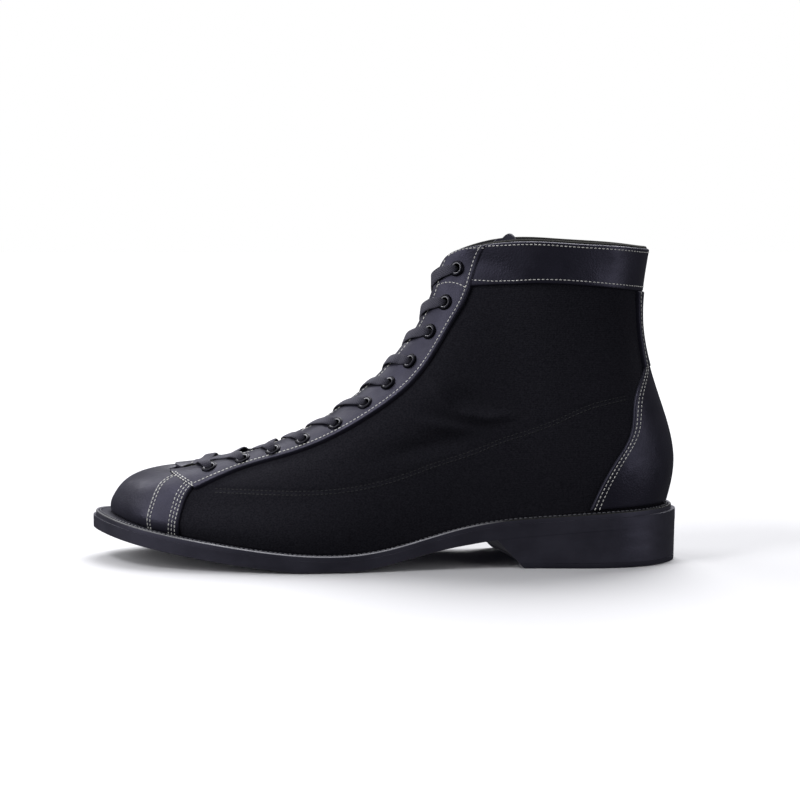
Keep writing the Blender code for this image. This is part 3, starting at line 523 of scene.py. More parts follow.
def station_at(x, column, side=1):
    """Station where a column of the last is at x, on the outer side, 1, or the inner one, -1."""
    u = np.linspace(0, 1, LOOKUP_STEPS)
    return side * float(np.interp(x, last(side * u)[:, column], u))


def seam(points, end=None):
    """Smooth line over the upper through points seen from the side, as (u, v) for a share of its length."""
    found = np.array([locate(x, z) for x, z in points])
    if end is not None:
        found[-1, 0] = end
    return spline(distance_along(wall_point(found[:, 0], found[:, 1])), found)


# Panels: each is a function that gives (u, v) for shares along and across it

def between(first, second):
    """Panel between two lines over the upper: along them, and across from the first to the second."""
    def place(along, across):
        start, end = first(along), second(along)
        mixed = start + (end - start) * np.asarray(across)[..., None]
        return mixed[..., 0], mixed[..., 1]
    return place


def round_end(line, centre):
    """Panel round the toe, centre 0, or the heel, centre 1, between a line and its mirror image."""
    def place(along, across):
        edge = line(across)
        return centre + (edge[..., 0] - centre) * (1 - 2 * along), edge[..., 1]
    return place


def inner_side(place):
    """The same panel on the inner side of the foot."""
    def mirrored(along, across):
        u, v = place(along, across)
        return -u, v
    return mirrored


def throat_lines(table):
    """Throat edge and lower edge of a strip along the throat."""
    rows = np.array(table)
    stations = np.array([station_at(x, TOP_X) for x in rows[:, 0]])
    top = np.column_stack([stations, np.ones(len(rows))])
    low = np.array([locate(x, z) for x, z in rows[:, 1:]])
    knots = distance_along(wall_point(top[:, 0], top[:, 1]))
    return spline(knots, top), spline(knots, low)


def collar_band_place():
    """Round the top from one eyestay to the other, past the back."""
    low_line = seam(BAND_SEAM, end=1.0)
    front_low = low_line(0.0)[0]
    front_top = station_at(BAND_TOP_START, TOP_X)

    def place(along, across):
        low = low_line(1 - np.abs(2 * np.asarray(along) - 1))
        passed = (low[..., 0] - front_low) / (1 - front_low)
        top = front_top + (1 - front_top) * passed
        u = low[..., 0] + (top - low[..., 0]) * across
        v = low[..., 1] + (1 - low[..., 1]) * across
        return np.where(np.asarray(along) > 0.5, 2 - u, u), v

    return place


# Meshes

def running(points, axis, closed):
    """Mean running length of the lines of a grid along one axis, mm."""
    if closed:
        points = np.concatenate([points, np.take(points, [0], axis=axis)], axis=axis)
    steps = np.linalg.norm(np.diff(points, axis=axis), axis=-1).mean(axis=1 - axis)
    return np.concatenate([[0.0], np.cumsum(steps)])


def face_corners(rows, columns, closed_rows=False, closed_columns=True):
    """Rows and columns of each face's corners in a grid. Where it is closed they go on past the last."""
    i, j = np.indices((rows - 1 + closed_rows, columns - 1 + closed_columns)).reshape(2, -1)
    return np.stack([i, i, i + 1, i + 1], axis=-1), np.stack([j, j + 1, j + 1, j], axis=-1)


def grid_mesh(name, points, closed_rows=False, closed_columns=True, keep=None, row_slots=None, caps=()):
    """Smooth mesh over a grid of points, with its lengths, in mm, as texture coordinates.

    keep tells by their middles which faces stay. row_slots gives the material of each row of faces. caps are
    rows of points that are closed with one face each.
    """
    rows, columns = points.shape[:2]
    corner_rows, corner_columns = face_corners(rows, columns, closed_rows, closed_columns)
    faces = corner_rows % rows * columns + corner_columns % columns
    flat = points.reshape(-1, 3)
    if keep is not None:
        kept = keep(flat[faces].mean(axis=1))
        faces, corner_rows, corner_columns = faces[kept], corner_rows[kept], corner_columns[kept]
    coordinates = np.stack([
        running(points, 1, closed_columns)[corner_columns], running(points, 0, closed_rows)[corner_rows],
    ], axis=-1).reshape(-1, 2)
    ends = [[row % rows * columns + k for k in range(columns)] for row in caps]
    mesh = bpy.data.meshes.new(name)
    mesh.from_pydata((flat * MM).tolist(), [], faces.tolist() + ends)
    padded = np.zeros((len(mesh.loops), 2))
    padded[:len(coordinates)] = coordinates
    mesh.uv_layers.new(name="lengths").data.foreach_set("uv", padded.ravel())
    if row_slots is not None:
        slots = np.asarray(row_slots)[corner_rows[:, 0]]
        mesh.polygons.foreach_set("material_index", slots.tolist() + [0] * len(ends))
    mesh.shade_smooth()
    mesh.set_sharp_from_angle(angle=SHARP_ANGLE)
    return mesh


def add_object(name, data):
    obj = bpy.data.objects.new(name, data)
    bpy.context.scene.collection.objects.link(obj)
    return obj


def add_piece(mesh, looks, slot, *nodes):
    """Object that rides on the part and takes the place of its nodes. looks are names of materials."""
    for look in looks:
        mesh.materials.append(materials[look])
    obj = add_object(mesh.name, mesh)
    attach(obj, "root")
    if nodes:
        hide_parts(*nodes)


def panel_sizes(place, along, across):
    """Length of a panel at shares across it, and its width at shares along it, mm."""
    points = wall_point(*place(along[:, None], across[None, :]))
    lengths = np.linalg.norm(np.diff(points, axis=0), axis=-1).sum(axis=0)
    widths = np.linalg.norm(np.diff(points, axis=1), axis=-1).sum(axis=1)
    return lengths, widths


def rounded_line(size):
    """Points from edge to edge of a piece of leather: fixed distance, share of the rest, and height."""
    count = int(size / LEATHER_SPACING) + 2
    fixed = np.concatenate([EDGE_STEPS, np.ones(count), 2 - EDGE_STEPS[::-1]]) * EDGE_ROUND
    share = np.concatenate([np.zeros(len(EDGE_STEPS)), np.linspace(0, 1, count), np.ones(len(EDGE_STEPS))])
    ends = np.sqrt(1 - (1 - EDGE_STEPS) ** 2)
    return fixed, share, np.concatenate([ends, np.ones(count), ends[::-1]])


def leather_mesh(name, place, lift, keep=None):
    """Piece of leather on the upper, rounded along its edges, which sink into the canvas.

    Its near edge has the second material, for a cut edge.
    """
    lengths, widths = panel_sizes(place, SHARES, SHARES)
    fixed_along, share_along, height_along = rounded_line(lengths.max())
    fixed_across, share_across, height_across = rounded_line(widths.max())
    length = np.interp(share_across, SHARES, lengths)[None, :]
    width = np.interp(share_along, SHARES, widths)[:, None]
    along = (fixed_along[:, None] + (length - 2 * EDGE_ROUND) * share_along[:, None]) / length
    across = (fixed_across[None, :] + (width - 2 * EDGE_ROUND) * share_across[None, :]) / width
    u, v = place(along, across)
    offset = -SUNK + (lift + SUNK) * height_along[:, None] * height_across[None, :]
    points = np.array([skin(*line) for line in zip(u.T, v.T, offset.T)])
    i, j = points.shape[0] // 2, points.shape[1] // 2
    facing = np.cross(points[i, j + 1] - points[i, j], points[i + 1, j] - points[i, j])
    if facing @ wall_normal(u[j, i], v[j, i]) < 0:
        points = points[:, ::-1]
    slots = [1] * CUT_ROWS + [0] * (len(points) - 1 - CUT_ROWS)
    return grid_mesh(name, points, closed_columns=False, keep=keep, row_slots=slots)


# Stitches

def edge_line(place, edge, inset, start, stop):
    """(u, v) of a line in from a panel's edge by inset mm. Edges: start, finish, near (across 0), far."""
    run = np.linspace(start, stop, LINE_STEPS)
    lengthwise = edge in ("near", "far")
    lengths, widths = panel_sizes(place, *((run, SHARES) if lengthwise else (SHARES, run)))
    share = inset / (widths if lengthwise else lengths)
    if edge in ("far", "finish"):
        share = 1 - share
    return place(run, share) if lengthwise else place(share, run)


def on_skin(line, lift):
    """Points and outward directions of a line over the upper."""
    u, v = line
    return skin(u, v, np.full(u.shape, lift)), wall_normal(u, v)


def circle(count):
    """Cosines and sines of directions all round."""
    angle = np.linspace(0, 2 * math.pi, count, endpoint=False)
    return np.cos(angle), np.sin(angle)


def stitch_points(points, normals, pitch=STITCH_PITCH, length=STITCH_LENGTH):
    """Grids of points of the stitches along one line."""
    passed = running(points[None], 1, False)
    count = int(passed[-1] // pitch)
    middles = (np.arange(count) + 0.5) * passed[-1] / count

    def at(distance, values):
        return np.column_stack([np.interp(distance, passed, column) for column in values.T])

    up = unit(at(middles, normals))
    ahead = unit(at(middles + length / 2, points) - at(middles - length / 2, points))
    beside = unit(np.cross(up, ahead))
    centre = at(middles, points) - up * STITCH_SINK
    cos, sin = circle(STITCH_SIDES)
    ring = beside[:, None] * cos[:, None] + np.cross(ahead, beside)[:, None] * sin[:, None]
    rows = [centre[:, None] + ahead[:, None] * length * t + ring * STITCH_RADIUS * r for t, r in STITCH_SHAPE]
    return np.stack(rows, axis=1)


def add_stitches(name, rows, look):
    """One piece with all the stitches of some rows."""
    stitches = np.concatenate(rows)
    count, rings, around = stitches.shape[:3]
    corner_rows, corner_columns = face_corners(rings, around)
    first = np.arange(count)[:, None, None] * rings * around
    faces = first + corner_rows * around + corner_columns % around
    mesh = bpy.data.meshes.new(name)
    mesh.from_pydata((stitches.reshape(-1, 3) * MM).tolist(), [], faces.reshape(-1, 4).tolist())
    mesh.shade_smooth()
    add_piece(mesh, [look], "lace")


# Materials

def connect(node, inputs):
    """Puts values or other nodes' outputs on sockets, by number or by name, with _ for a space."""
    for key, value in inputs.items():
        socket = node.inputs[key if isinstance(key, int) else key.replace("_", " ")]
        if isinstance(value, bpy.types.NodeSocket):
            node.id_data.links.new(value, socket)
        else:
            socket.default_value = value


def new_material(name, colour, roughness, **values):
    """Main shader of a new material, with values on its sockets."""
    material = bpy.data.materials.new(name)
    material.use_nodes = True
    materials[name] = material
    shader = material.node_tree.nodes["Principled BSDF"]
    connect(shader, {"Base Color": (*colour, 1), "Roughness": roughness, **values})
    return shader


def add_node(beside, kind, settings=None, **inputs):
    """Node in the same tree as another one, with settings, and with values or outputs on its sockets."""
    node = beside.id_data.nodes.new(f"ShaderNode{kind}")
    for key, value in (settings or {}).items():
        setattr(node, key, value)
    connect(node, inputs)
    return node


def place_on(shader):
    """Place on the object, in metres."""
    return add_node(shader, "TexCoord").outputs["Object"]


def noise(shader, scale, detail=3, stretch=(1, 1, 1)):
    """Noise over the object, in features a metre."""
    mapped = add_node(shader, "Mapping", Vector=place_on(shader), Scale=stretch).outputs["Vector"]
    return add_node(shader, "TexNoise", Vector=mapped, Scale=scale, Detail=detail).outputs["Fac"]


def ramp(shader, value, stops):
    """Colours at places from 0 to 1, blended between them."""
    node = add_node(shader, "ValToRGB", Fac=value)
    elements = node.color_ramp.elements
    for _ in range(len(stops) - len(elements)):
        elements.new(1)
    for element, (position, colour) in zip(elements, stops):
        element.position = position
        element.color = (*colour, 1)
    return node.outputs["Color"]


def vary(shader, socket, value, low, high, span=(0.35, 0.65)):
    """Puts a value spread between low and high on a socket. Colours have three numbers."""
    if isinstance(low, tuple):
        result = ramp(shader, value, tuple(zip(span, (low, high))))
    else:
        spread = add_node(
            shader, "MapRange", Value=value, From_Min=span[0], From_Max=span[1], To_Min=low, To_Max=high,
        )
        result = spread.outputs["Result"]
    connect(shader, {socket: result})


def shades(colour, *factors):
    return [tuple(part * factor for part in colour) for factor in factors]


def bump(shader, height, strength, depth, **under):
    """Bump of a height, depth in metres, over another bump given as Normal."""
    node = add_node(shader, "Bump", Height=height, Strength=strength, Distance=depth, **under)
    connect(shader, {"Normal": node.outputs["Normal"]})
    return node.outputs["Normal"]


def weave(shader, pitch, slant=0.0):
    """Threads crossing each other, pitch in mm, along the lengths kept with the mesh."""
    place = add_node(shader, "UVMap", {"uv_map": "lengths"}).outputs["UV"]
    turned = add_node(shader, "Mapping", Vector=place, Rotation=(0, 0, slant)).outputs["Vector"]
    scale = 2 * math.pi / (WAVE_RATE * pitch)
    both = add_node(shader, "Math", {"operation": "MAXIMUM"})
    for i, way in enumerate("XY"):
        bands = {"bands_direction": way}
        threads = add_node(shader, "TexWave", bands, Vector=turned, Scale=scale, Distortion=0.6)
        connect(both, {i: threads.outputs["Fac"]})
    return both.outputs["Value"]


def canvas_material():
    shader = new_material(
        "canvas", (0.007, 0.007, 0.009), 0.9, Specular_IOR_Level=0.2, Sheen_Weight=0.02, Specular_Tint=COOL,
    )
    slubs = noise(shader, 1600, 6, (0.7, 0.7, 1))
    vary(shader, "Base Color", slubs, (0.0046, 0.0046, 0.0058), (0.0134, 0.0132, 0.0162))
    nap = bump(shader, noise(shader, 900, 4), 0.35, 0.0003)
    bump(shader, weave(shader, 0.75), 0.5, 0.00012, Normal=nap)


def leather_material(name, colour, roughness):
    shader = new_material(name, colour, roughness, Specular_IOR_Level=0.36, Specular_Tint=COOL)
    vary(shader, "Base Color", noise(shader, 35, 4), *shades(colour, 0.8, 1.2))
    vary(shader, "Roughness", noise(shader, 90, 5), roughness - 0.07, roughness + 0.09)
    soft = bump(shader, noise(shader, 160), 0.1, 0.0012)
    grain = add_node(shader, "TexVoronoi", {"feature": "SMOOTH_F1"}, Scale=1100, Vector=place_on(shader))
    bump(shader, grain.outputs["Distance"], 0.22, 0.0003, Normal=soft)


def rubber_material(name, colour, roughness, rough_depth):
    shader = new_material(name, colour, roughness, Specular_IOR_Level=0.4, Specular_Tint=COOL)
    vary(shader, "Base Color", noise(shader, 70, 5), *shades(colour, 0.82, 1.18))
    streaks = noise(shader, 45, 5, (0.4, 0.4, 3))
    vary(shader, "Roughness", streaks, roughness - 0.08, roughness + 0.1)
    bump(shader, noise(shader, 700, 4), 0.3, rough_depth)


def cloth_material(name, colour, pitch, slant=0.0, depth=0.0001):
    shader = new_material(name, colour, 0.85, Specular_IOR_Level=0.25, Sheen_Weight=0.05)
    vary(shader, "Base Color", weave(shader, pitch, slant), *shades(colour, 0.55, 1.45), (0.2, 0.8))
    bump(shader, weave(shader, pitch, slant), 0.5, depth)


def thread_material(name, colour):
    shader = new_material(name, colour, 0.7, Specular_IOR_Level=0.3)
    vary(shader, "Base Color", noise(shader, 250), *shades(colour, 0.75, 1))
    bump(shader, noise(shader, 3000, 2), 0.4, 0.0001)


def edge_material(name, colour):
    shader = new_material(name, colour, 0.85, Specular_IOR_Level=0.3)
    vary(shader, "Base Color", noise(shader, 500, 4), *shades(colour, 0.6, 1.4))
    bump(shader, noise(shader, 1500), 0.5, 0.0002)


def welt_highlight_material():
    """Painted highlight along the welt's outer corner: pale along the middle of the boot, dimmer towards the
    toe, and dark as painted shade towards the heel.
    """
    shader = new_material("welt_painted_highlight", (0.2, 0.2, 0.22), 0.5, Specular_IOR_Level=0.4)
    along = add_node(shader, "SeparateXYZ", Vector=place_on(shader)).outputs["X"]
    reach = WELT_HIGHLIGHT_REACH * MM
    share = add_node(shader, "MapRange", Value=along, From_Min=-reach, From_Max=reach).outputs["Result"]
    stops = [(0.5 + at / (2 * WELT_HIGHLIGHT_REACH), (tone, tone, tone * 1.1)) for at, tone in WELT_HIGHLIGHT_TONES]
    connect(shader, {"Base Color": ramp(shader, share, stops)})
    bump(shader, noise(shader, 900), 0.3, 0.0002)


def metal_materials():
    """Black enamel, and pale metal for a painted highlight on each eyelet's inner lip."""
    enamel = new_material(
        "eyelet_enamel", (0.003, 0.003, 0.004), 0.3, Specular_IOR_Level=0.1, Specular_Tint=COOL,
    )
    vary(enamel, "Roughness", noise(enamel, 400), 0.24, 0.38)
    # pale metal for the painted highlight on each eyelet's inner lip
    metal = new_material("eyelet_painted_highlight", (0.42, 0.42, 0.45), 0.4)
    vary(metal, "Roughness", noise(metal, 600), 0.28, 0.45)


def make_materials():
    canvas_material()
    leather_material("leather", (0.013, 0.0126, 0.0185), 0.42)
    leather_material("tongue_leather", (0.028, 0.027, 0.036), 0.5)
    leather_material("insole_leather", (0.16, 0.13, 0.1), 0.6)
    edge_material("cut_edge", (0.012, 0.012, 0.01))
    edge_material("pale_edge", (0.3, 0.3, 0.31))
    cloth_material("lining", (0.03, 0.03, 0.034), 0.9)
    cloth_material("lace", (0.034, 0.033, 0.047), 1, math.pi / 4, 0.0003)
    thread_material("thread", (0.66, 0.66, 0.63))
    thread_material("dark_thread", (0.017, 0.017, 0.02))
    thread_material("welt_thread", (0.13, 0.13, 0.145))
    welt_highlight_material()
    rubber_material("rubber", (0.026, 0.0255, 0.0335), 0.45, 0.0002)
    # near-black rubber: painted shade in the crevice where the upper meets the welt
    rubber_material("feather_painted_shade", (0.005, 0.005, 0.006), 0.8, 0.0003)
    # rougher rubber at the heel's foot, darker as painted shade along its lower edge
    rubber_material("top_piece_painted_shade", (0.018, 0.018, 0.023), 0.6, 0.0003)
    metal_materials()


# Pieces

def hole_test(frames):
    """Test that leaves out the faces inside the eyelets' holes."""
    def keep(middles):
        kept = np.ones(len(middles), bool)
        for points, directions in frames.values():
            for point, direction in zip(points, directions):
                away = middles - point
                depth = away @ direction
                across = np.linalg.norm(away - depth[:, None] * direction, axis=1)
                kept &= (across > HOLE_RADIUS) | (np.abs(depth) > 2 * WALL + LIFTS["eyestay"])
        return kept
    return keep


def make_upper(frames):
    outside = [skin(all_stations, v, 0.0) for v in np.linspace(0, 1, UP_STEPS + 1)]
    top = np.ones(ROUND_STEPS)
    upward = unit(wall_point(all_stations, top) - wall_point(all_stations, top - SLOPE_STEP))
    rim = []
    for angle in np.linspace(0, math.pi, RIM_STEPS + 1)[1:-1]:
        depth = WALL / 2 * (1 - math.cos(angle))
        rim.append(skin(all_stations, 1.0, -depth) + upward * WALL / 2 * math.sin(angle))
    inside = [skin(all_stations, v, -WALL) for v in np.linspace(1, 0, INSIDE_STEPS + 1)]
    points = np.array(outside + rim + inside)
    slots = [0] * UP_STEPS + [1] * RIM_STEPS + [2] * (INSIDE_STEPS + 1)
    mesh = grid_mesh("upper_look", points, closed_rows=True, keep=hole_test(frames), row_slots=slots)
    add_piece(mesh, ("canvas", "cut_edge", "lining"), "canvas", "upper")


def make_overlays(frames):
    """Leather over the canvas and the light rows of stitches on it."""
    single = {
        "toe_cap": round_end(seam(CAP_END), 0),
        "collar_band": collar_band_place(),
        "back_strap": round_end(seam(BACK_STRAP_SEAM), 1),
        "heel_counter": round_end(seam(COUNTER_SEAM), 1),
    }
    paired = {
        "strap": between(seam(CAP_SEAM), seam(STRAP_SEAM)),
        "eyestay": between(*throat_lines((EYESTAY_FRONT, *EYESTAY_EDGES[1:-2], *EYESTAY_TOP))),
    }
    pieces = [(kind, kind, place) for kind, place in single.items()]
    for name, side in SIDES.items():
        for kind, place in paired.items():
            pieces.append((f"{kind}_{name}", kind, place if side > 0 else inner_side(place)))
    for node, kind, place in pieces:
        keep = hole_test(frames) if kind == "eyestay" else None
        mesh = leather_mesh(f"{node}_look", place, LIFTS[kind], keep)
        add_piece(mesh, ("leather", CUT_EDGES.get(kind, "leather")), "leather", node)
        if kind in STITCH_ROWS:
            lines = [edge_line(place, *row) for row in STITCH_ROWS[kind]]
            stitches = [stitch_points(*on_skin(line, LIFTS[kind])) for line in lines]
            add_stitches(f"{node}_stitches", stitches, "thread")


def make_canvas_stitches():
    """Two rows along the canvas's seam on each side."""
    rows = []
    for drop in CANVAS_SEAM_DROPS:
        u, v = seam([(x, z - drop) for x, z in CANVAS_SEAM])(np.linspace(0, 1, LINE_STEPS)).T
        rows += [stitch_points(*on_skin((side * u, v), 0.0)) for side in SIDES.values()]
    add_stitches("canvas_stitches", rows, "dark_thread")


def make_tongue():
    """Sheet inside the throat: a wing under each eyestay, joined over the foot by a round middle."""
    along_steps, wing_steps, middle_steps = TONGUE_STEPS
    along = np.linspace(0, 1, along_steps)[:, None]
    across = np.linspace(1, 0, wing_steps)
    rise = spline(*np.array(TONGUE_RISE).T)(across)[:, 0]
    rising = smooth_step((along - TONGUE_RISE_START) / (1 - TONGUE_RISE_START))
    u, v = between(*throat_lines(TONGUE_EDGES))(along, across[None, :])
    middle = np.linspace(0, 1, middle_steps)[1:-1][None, :, None]

    def face(depth):
        offset = np.full(u.shape, -depth)
        outer, inner = skin(u, v, offset), skin(-u, v, offset)[:, ::-1]
        start, end = outer[:, -1:], inner[:, :1]
        up = unit(wall_normal(u[:, -1:], v[:, -1:]) + wall_normal(-u[:, -1:], v[:, -1:]))
        gap = np.linalg.norm(end - start, axis=-1, keepdims=True)
        crown = gap ** 2 / (2 * TONGUE_CROWN_RADIUS) * middle * (1 - middle)
        bridge = start + (end - start) * middle + up * crown
        outer[..., 2] += rise * rising
        inner[..., 2] += np.minimum(rise, 0)[::-1] * rising
        bridge[..., 2] += rise[-1] * rising
        return np.concatenate([outer, bridge, inner], axis=1)

    depth = WALL + TONGUE_GAP
    core = face(depth + TONGUE / 2)

    def around(front, back):
        return np.concatenate([front, core[:, -1:], back[:, ::-1], core[:, :1]], axis=1)

    end = around(core, core)
    points = np.concatenate([end[:1], around(face(depth), face(depth + TONGUE)), end[-1:]])
    add_piece(grid_mesh("tongue_look", points[:, ::-1]), ["tongue_leather"], "canvas", "tongue")


def across_row(outer, inner, insets, steps):
    """Points from the outer edge to the inner one, with some at fixed insets from both edges."""
    span = np.linalg.norm(inner - outer, axis=-1, keepdims=True)
    fixed = np.minimum(np.asarray(insets)[None, :], span / 2)
    start = fixed[:, -1:]
    rest = start + (span - 2 * start) * np.linspace(0, 1, steps + 1)[None, 1:-1]
    inset = np.concatenate([fixed, rest, span - fixed[:, ::-1]], axis=1)
    points = outer[:, None] + (inner - outer)[:, None] * (inset / np.maximum(span, TINY))[..., None]
    return points, np.minimum(inset, span - inset)


def with_height(plan, height):
    return np.concatenate([plan, np.asarray(height)[..., None]], axis=-1)


def make_outsole():
    edges = sole_edge(half_stations)[0], sole_edge(-half_stations)[0]
    corner_insets, corner_drops = np.array(OUTSOLE_CORNER).T
    plan, inset = across_row(*edges, corner_insets, SOLE_STEPS)
    drop = WELT - SEAT_GAP + np.interp(inset, corner_insets, corner_drops)
    top = with_height(plan, sole_top(plan[..., 0]) - drop)
    plan, inset = across_row(*edges, SOLE_EDGE_RUN * np.array(SOLE_EDGE_SHARES), SOLE_STEPS)
    start, end = FLAT_EDGE
    rounding = np.clip((end - plan[..., 0]) / (end - start), 0, 1)
    worn = SOLE_EDGE_RISE * rounding * (1 - np.minimum(inset / SOLE_EDGE_RUN, 1)) ** 2
    under = with_height(plan, sole_under(plan[..., 0]) + worn)
    points = np.concatenate([top, under[:, ::-1]], axis=1)
    add_piece(grid_mesh("outsole_look", points), ["rubber"], "rubber", "outsole")


def make_welt():
    """Strip round the upper with a painted highlight along its outer edge, pressed grooves across it, and a
    row of stitches.
    """
    stations = np.linspace(0, 2, WELT_STEPS, endpoint=False)
    passed = running(sole_edge(stations)[0][None], 1, True)
    grooves = round(passed[-1] / GROOVE_PITCH)
    groove = 0.5 - 0.5 * np.cos(2 * math.pi * grooves * passed[:-1] / passed[-1])
    edge_inset = np.interp(1 - np.abs(stations - 1), *np.array(WELT_INSETS).T)
    loops = []
    for inset, drop, share in WELT_CORNER:
        outline = sole_edge(stations, edge_inset + inset)[0]
        loops.append(with_height(outline, sole_top(outline[:, 0]) - drop - share * GROOVE_DEPTH * groove))
    bore = feather(stations, WALL + RIM_GAP)[0]
    loops += [with_height(bore, sole_top(bore[:, 0]) - drop) for drop in (0, WELT)]
    slots = np.zeros(len(loops), int)
    # rows that carry the painted highlight on the welt's outer corner
    slots[1:1 + WELT_HIGHLIGHT_ROWS] = 1
    # rows next to the upper: painted shade in the crevice there
    slots[len(WELT_CORNER) - WELT_SHADED_ROWS:len(WELT_CORNER)] = 2
    mesh = grid_mesh("welt_look", np.array(loops), closed_rows=True, row_slots=slots)
    add_piece(mesh, ("rubber", "welt_painted_highlight", "feather_painted_shade"), "rubber", "welt")
    line = sole_edge(stations, edge_inset + WELT_STITCH_INSET)[0]
    points = with_height(line, sole_top(line[:, 0]) + STITCH_SINK)
    upward = np.broadcast_to((0.0, 0.0, 1.0), points.shape)
    row = stitch_points(points, upward, WELT_STITCH_PITCH, WELT_STITCH_LENGTH)
    add_stitches("welt_stitches", [row], "welt_thread")


def heel_outline(level, inset):
    """Outline of the heel at its top or at the floor: outer side, back, inner side and front face."""
    outer_x, inner_x = HEEL_BREAST[level]
    outer = sole_edge(np.linspace(station_at(outer_x, EDGE_X), 1, HEEL_SIDE_STEPS), inset)[0]
    inner = sole_edge(np.linspace(-1, station_at(inner_x, EDGE_X, -1), HEEL_SIDE_STEPS), inset)[0]
    share = np.linspace(0, 1, HEEL_FRONT_STEPS)[1:-1, None]
    front = inner[-1] + (outer[0] - inner[-1]) * share
    front[:, 0] += (BREAST_HOLLOW * 4 * share * (1 - share))[:, 0]
    return np.concatenate([outer, inner[1:], front])


def make_heel():
    top_plan = heel_outline("top", HEEL_TOP_INSET)
    floor_plan = heel_outline("floor", HEEL_TAPER)
    top = with_height(top_plan, sole_under(top_plan[:, 0]) + SEAT_GAP)
    floor = with_height(floor_plan, np.zeros(len(floor_plan)))
    inward = unit(floor_plan.mean(axis=0) - floor_plan)
    loops = []
    for height, inset in HEEL_SIDE:
        loop = floor + (top - floor) * height / top[:, 2:]
        loop[:, :2] += inward * inset
        loops.append(loop)
    start = loops[-1]
    loops += [start + (top - start) * share for share in np.linspace(0, 1, HEEL_UP_STEPS)[1:]]
    # the lowest rows take the darker rubber, painted shade along the heel's lower edge
    slots = [1] * TOP_PIECE_SHADE_ROWS + [0] * (len(loops) - 1 - TOP_PIECE_SHADE_ROWS)
    mesh = grid_mesh("heel_look", np.array(loops), row_slots=slots, caps=(0, -1))
    add_piece(mesh, ("rubber", "top_piece_painted_shade"), "rubber", "heel")


def make_insole():
    edges = [feather(stations, WALL + 2 * RIM_GAP)[0] for stations in (half_stations, -half_stations)]
    plan, _ = across_row(*edges, INSOLE_EDGE, INSOLE_STEPS)
    low = sole_top(plan[..., 0]) - WELT
    top, under = with_height(plan, low + INSOLE), with_height(plan, low)
    points = np.concatenate([top, under[:, ::-1]], axis=1)
    add_piece(grid_mesh("insole_look", points), ["insole_leather"], "board", "insole")


# Eyelets and lace

def across_eyestay(rows):
    """Share of the eyestay's width, from the throat, where the eyelets at these shares of its length are."""
    return np.interp(rows, *np.array(EYELET_ACROSS).T)


def eyelet_frames(rows):
    """Centre and outward direction of each eyelet on the eyestay, for the outer and the inner side."""
    u, v = between(*throat_lines(EYESTAY_EDGES))(rows, across_eyestay(rows))
    return {side: on_skin((side * u, v), LIFTS["eyestay"]) for side in SIDES.values()}


def make_eyelets(frames):
    cos, sin = circle(EYELET_SIDES)
    loops = [np.column_stack([r * cos, r * sin, np.full(EYELET_SIDES, z)]) for r, z in EYELET_PROFILE]
    slots = np.zeros(len(loops), int)
    # the inner lip takes the painted highlight
    slots[EYELET_HIGHLIGHT_ROW] = 1
    mesh = grid_mesh("eyelet_look", np.array(loops)[::-1], row_slots=slots)
    for name, side in SIDES.items():
        for row, (point, direction) in enumerate(zip(*frames[side]), start=1):
            node = f"eyelet_{name}_{row:02d}"
            turn = Vector(direction).to_track_quat("Z", "X").to_matrix().to_4x4()
            single = mesh.copy()
            single.name = f"{node}_look"
            single.transform(Matrix.Translation(Vector(point) * MM) @ turn)
            add_piece(single, ("eyelet_enamel", "eyelet_painted_highlight"), "enamel", node)


def add_ribbon(name, points, normals, widths, *nodes):
    """Flat lace along points, lying square to the normals given at them."""
    points = np.array(points)
    knots = distance_along(points)
    share = np.linspace(0, 1, LACE_STEPS)
    path = spline(knots, points)(share)
    width = np.interp(share, knots, widths)[:, None, None]
    ahead = unit(np.gradient(path, axis=0))
    beside = unit(np.cross(ahead, spline(knots, normals)(share)))
    up = np.cross(beside, ahead)
    across, over = (
        (np.sign(way) * np.abs(way) ** power)[:, None] for way, power in zip(circle(LACE_SIDES), LACE_POWERS)
    )
    thickness = LACE_THICKNESS * (1 + LACE_BUNCH * (1 - width))
    sideways = beside[:, None] * across * LACE_WIDTH * width
    upwards = up[:, None] * over * thickness
    add_piece(grid_mesh(name, path[:, None] + (sideways + upwards) / 2), ["lace"], "lace", *nodes)


def throat_frame(rows):
    """Middle of the throat and its outward direction, for shares of the eyestay's length."""
    stations = throat_lines(EYESTAY_EDGES)[0](rows)[:, 0]
    edges = {side: skin(side * stations, 1.0, 0.0) for side in SIDES.values()}
    outward = unit(sum(wall_normal(side * stations, np.ones(len(rows))) for side in SIDES.values()))
    span = np.linalg.norm(edges[1] - edges[-1], axis=-1, keepdims=True)
    middle = (edges[1] + edges[-1]) / 2 + outward * span ** 2 / (8 * TONGUE_CROWN_RADIUS)
    return middle, outward


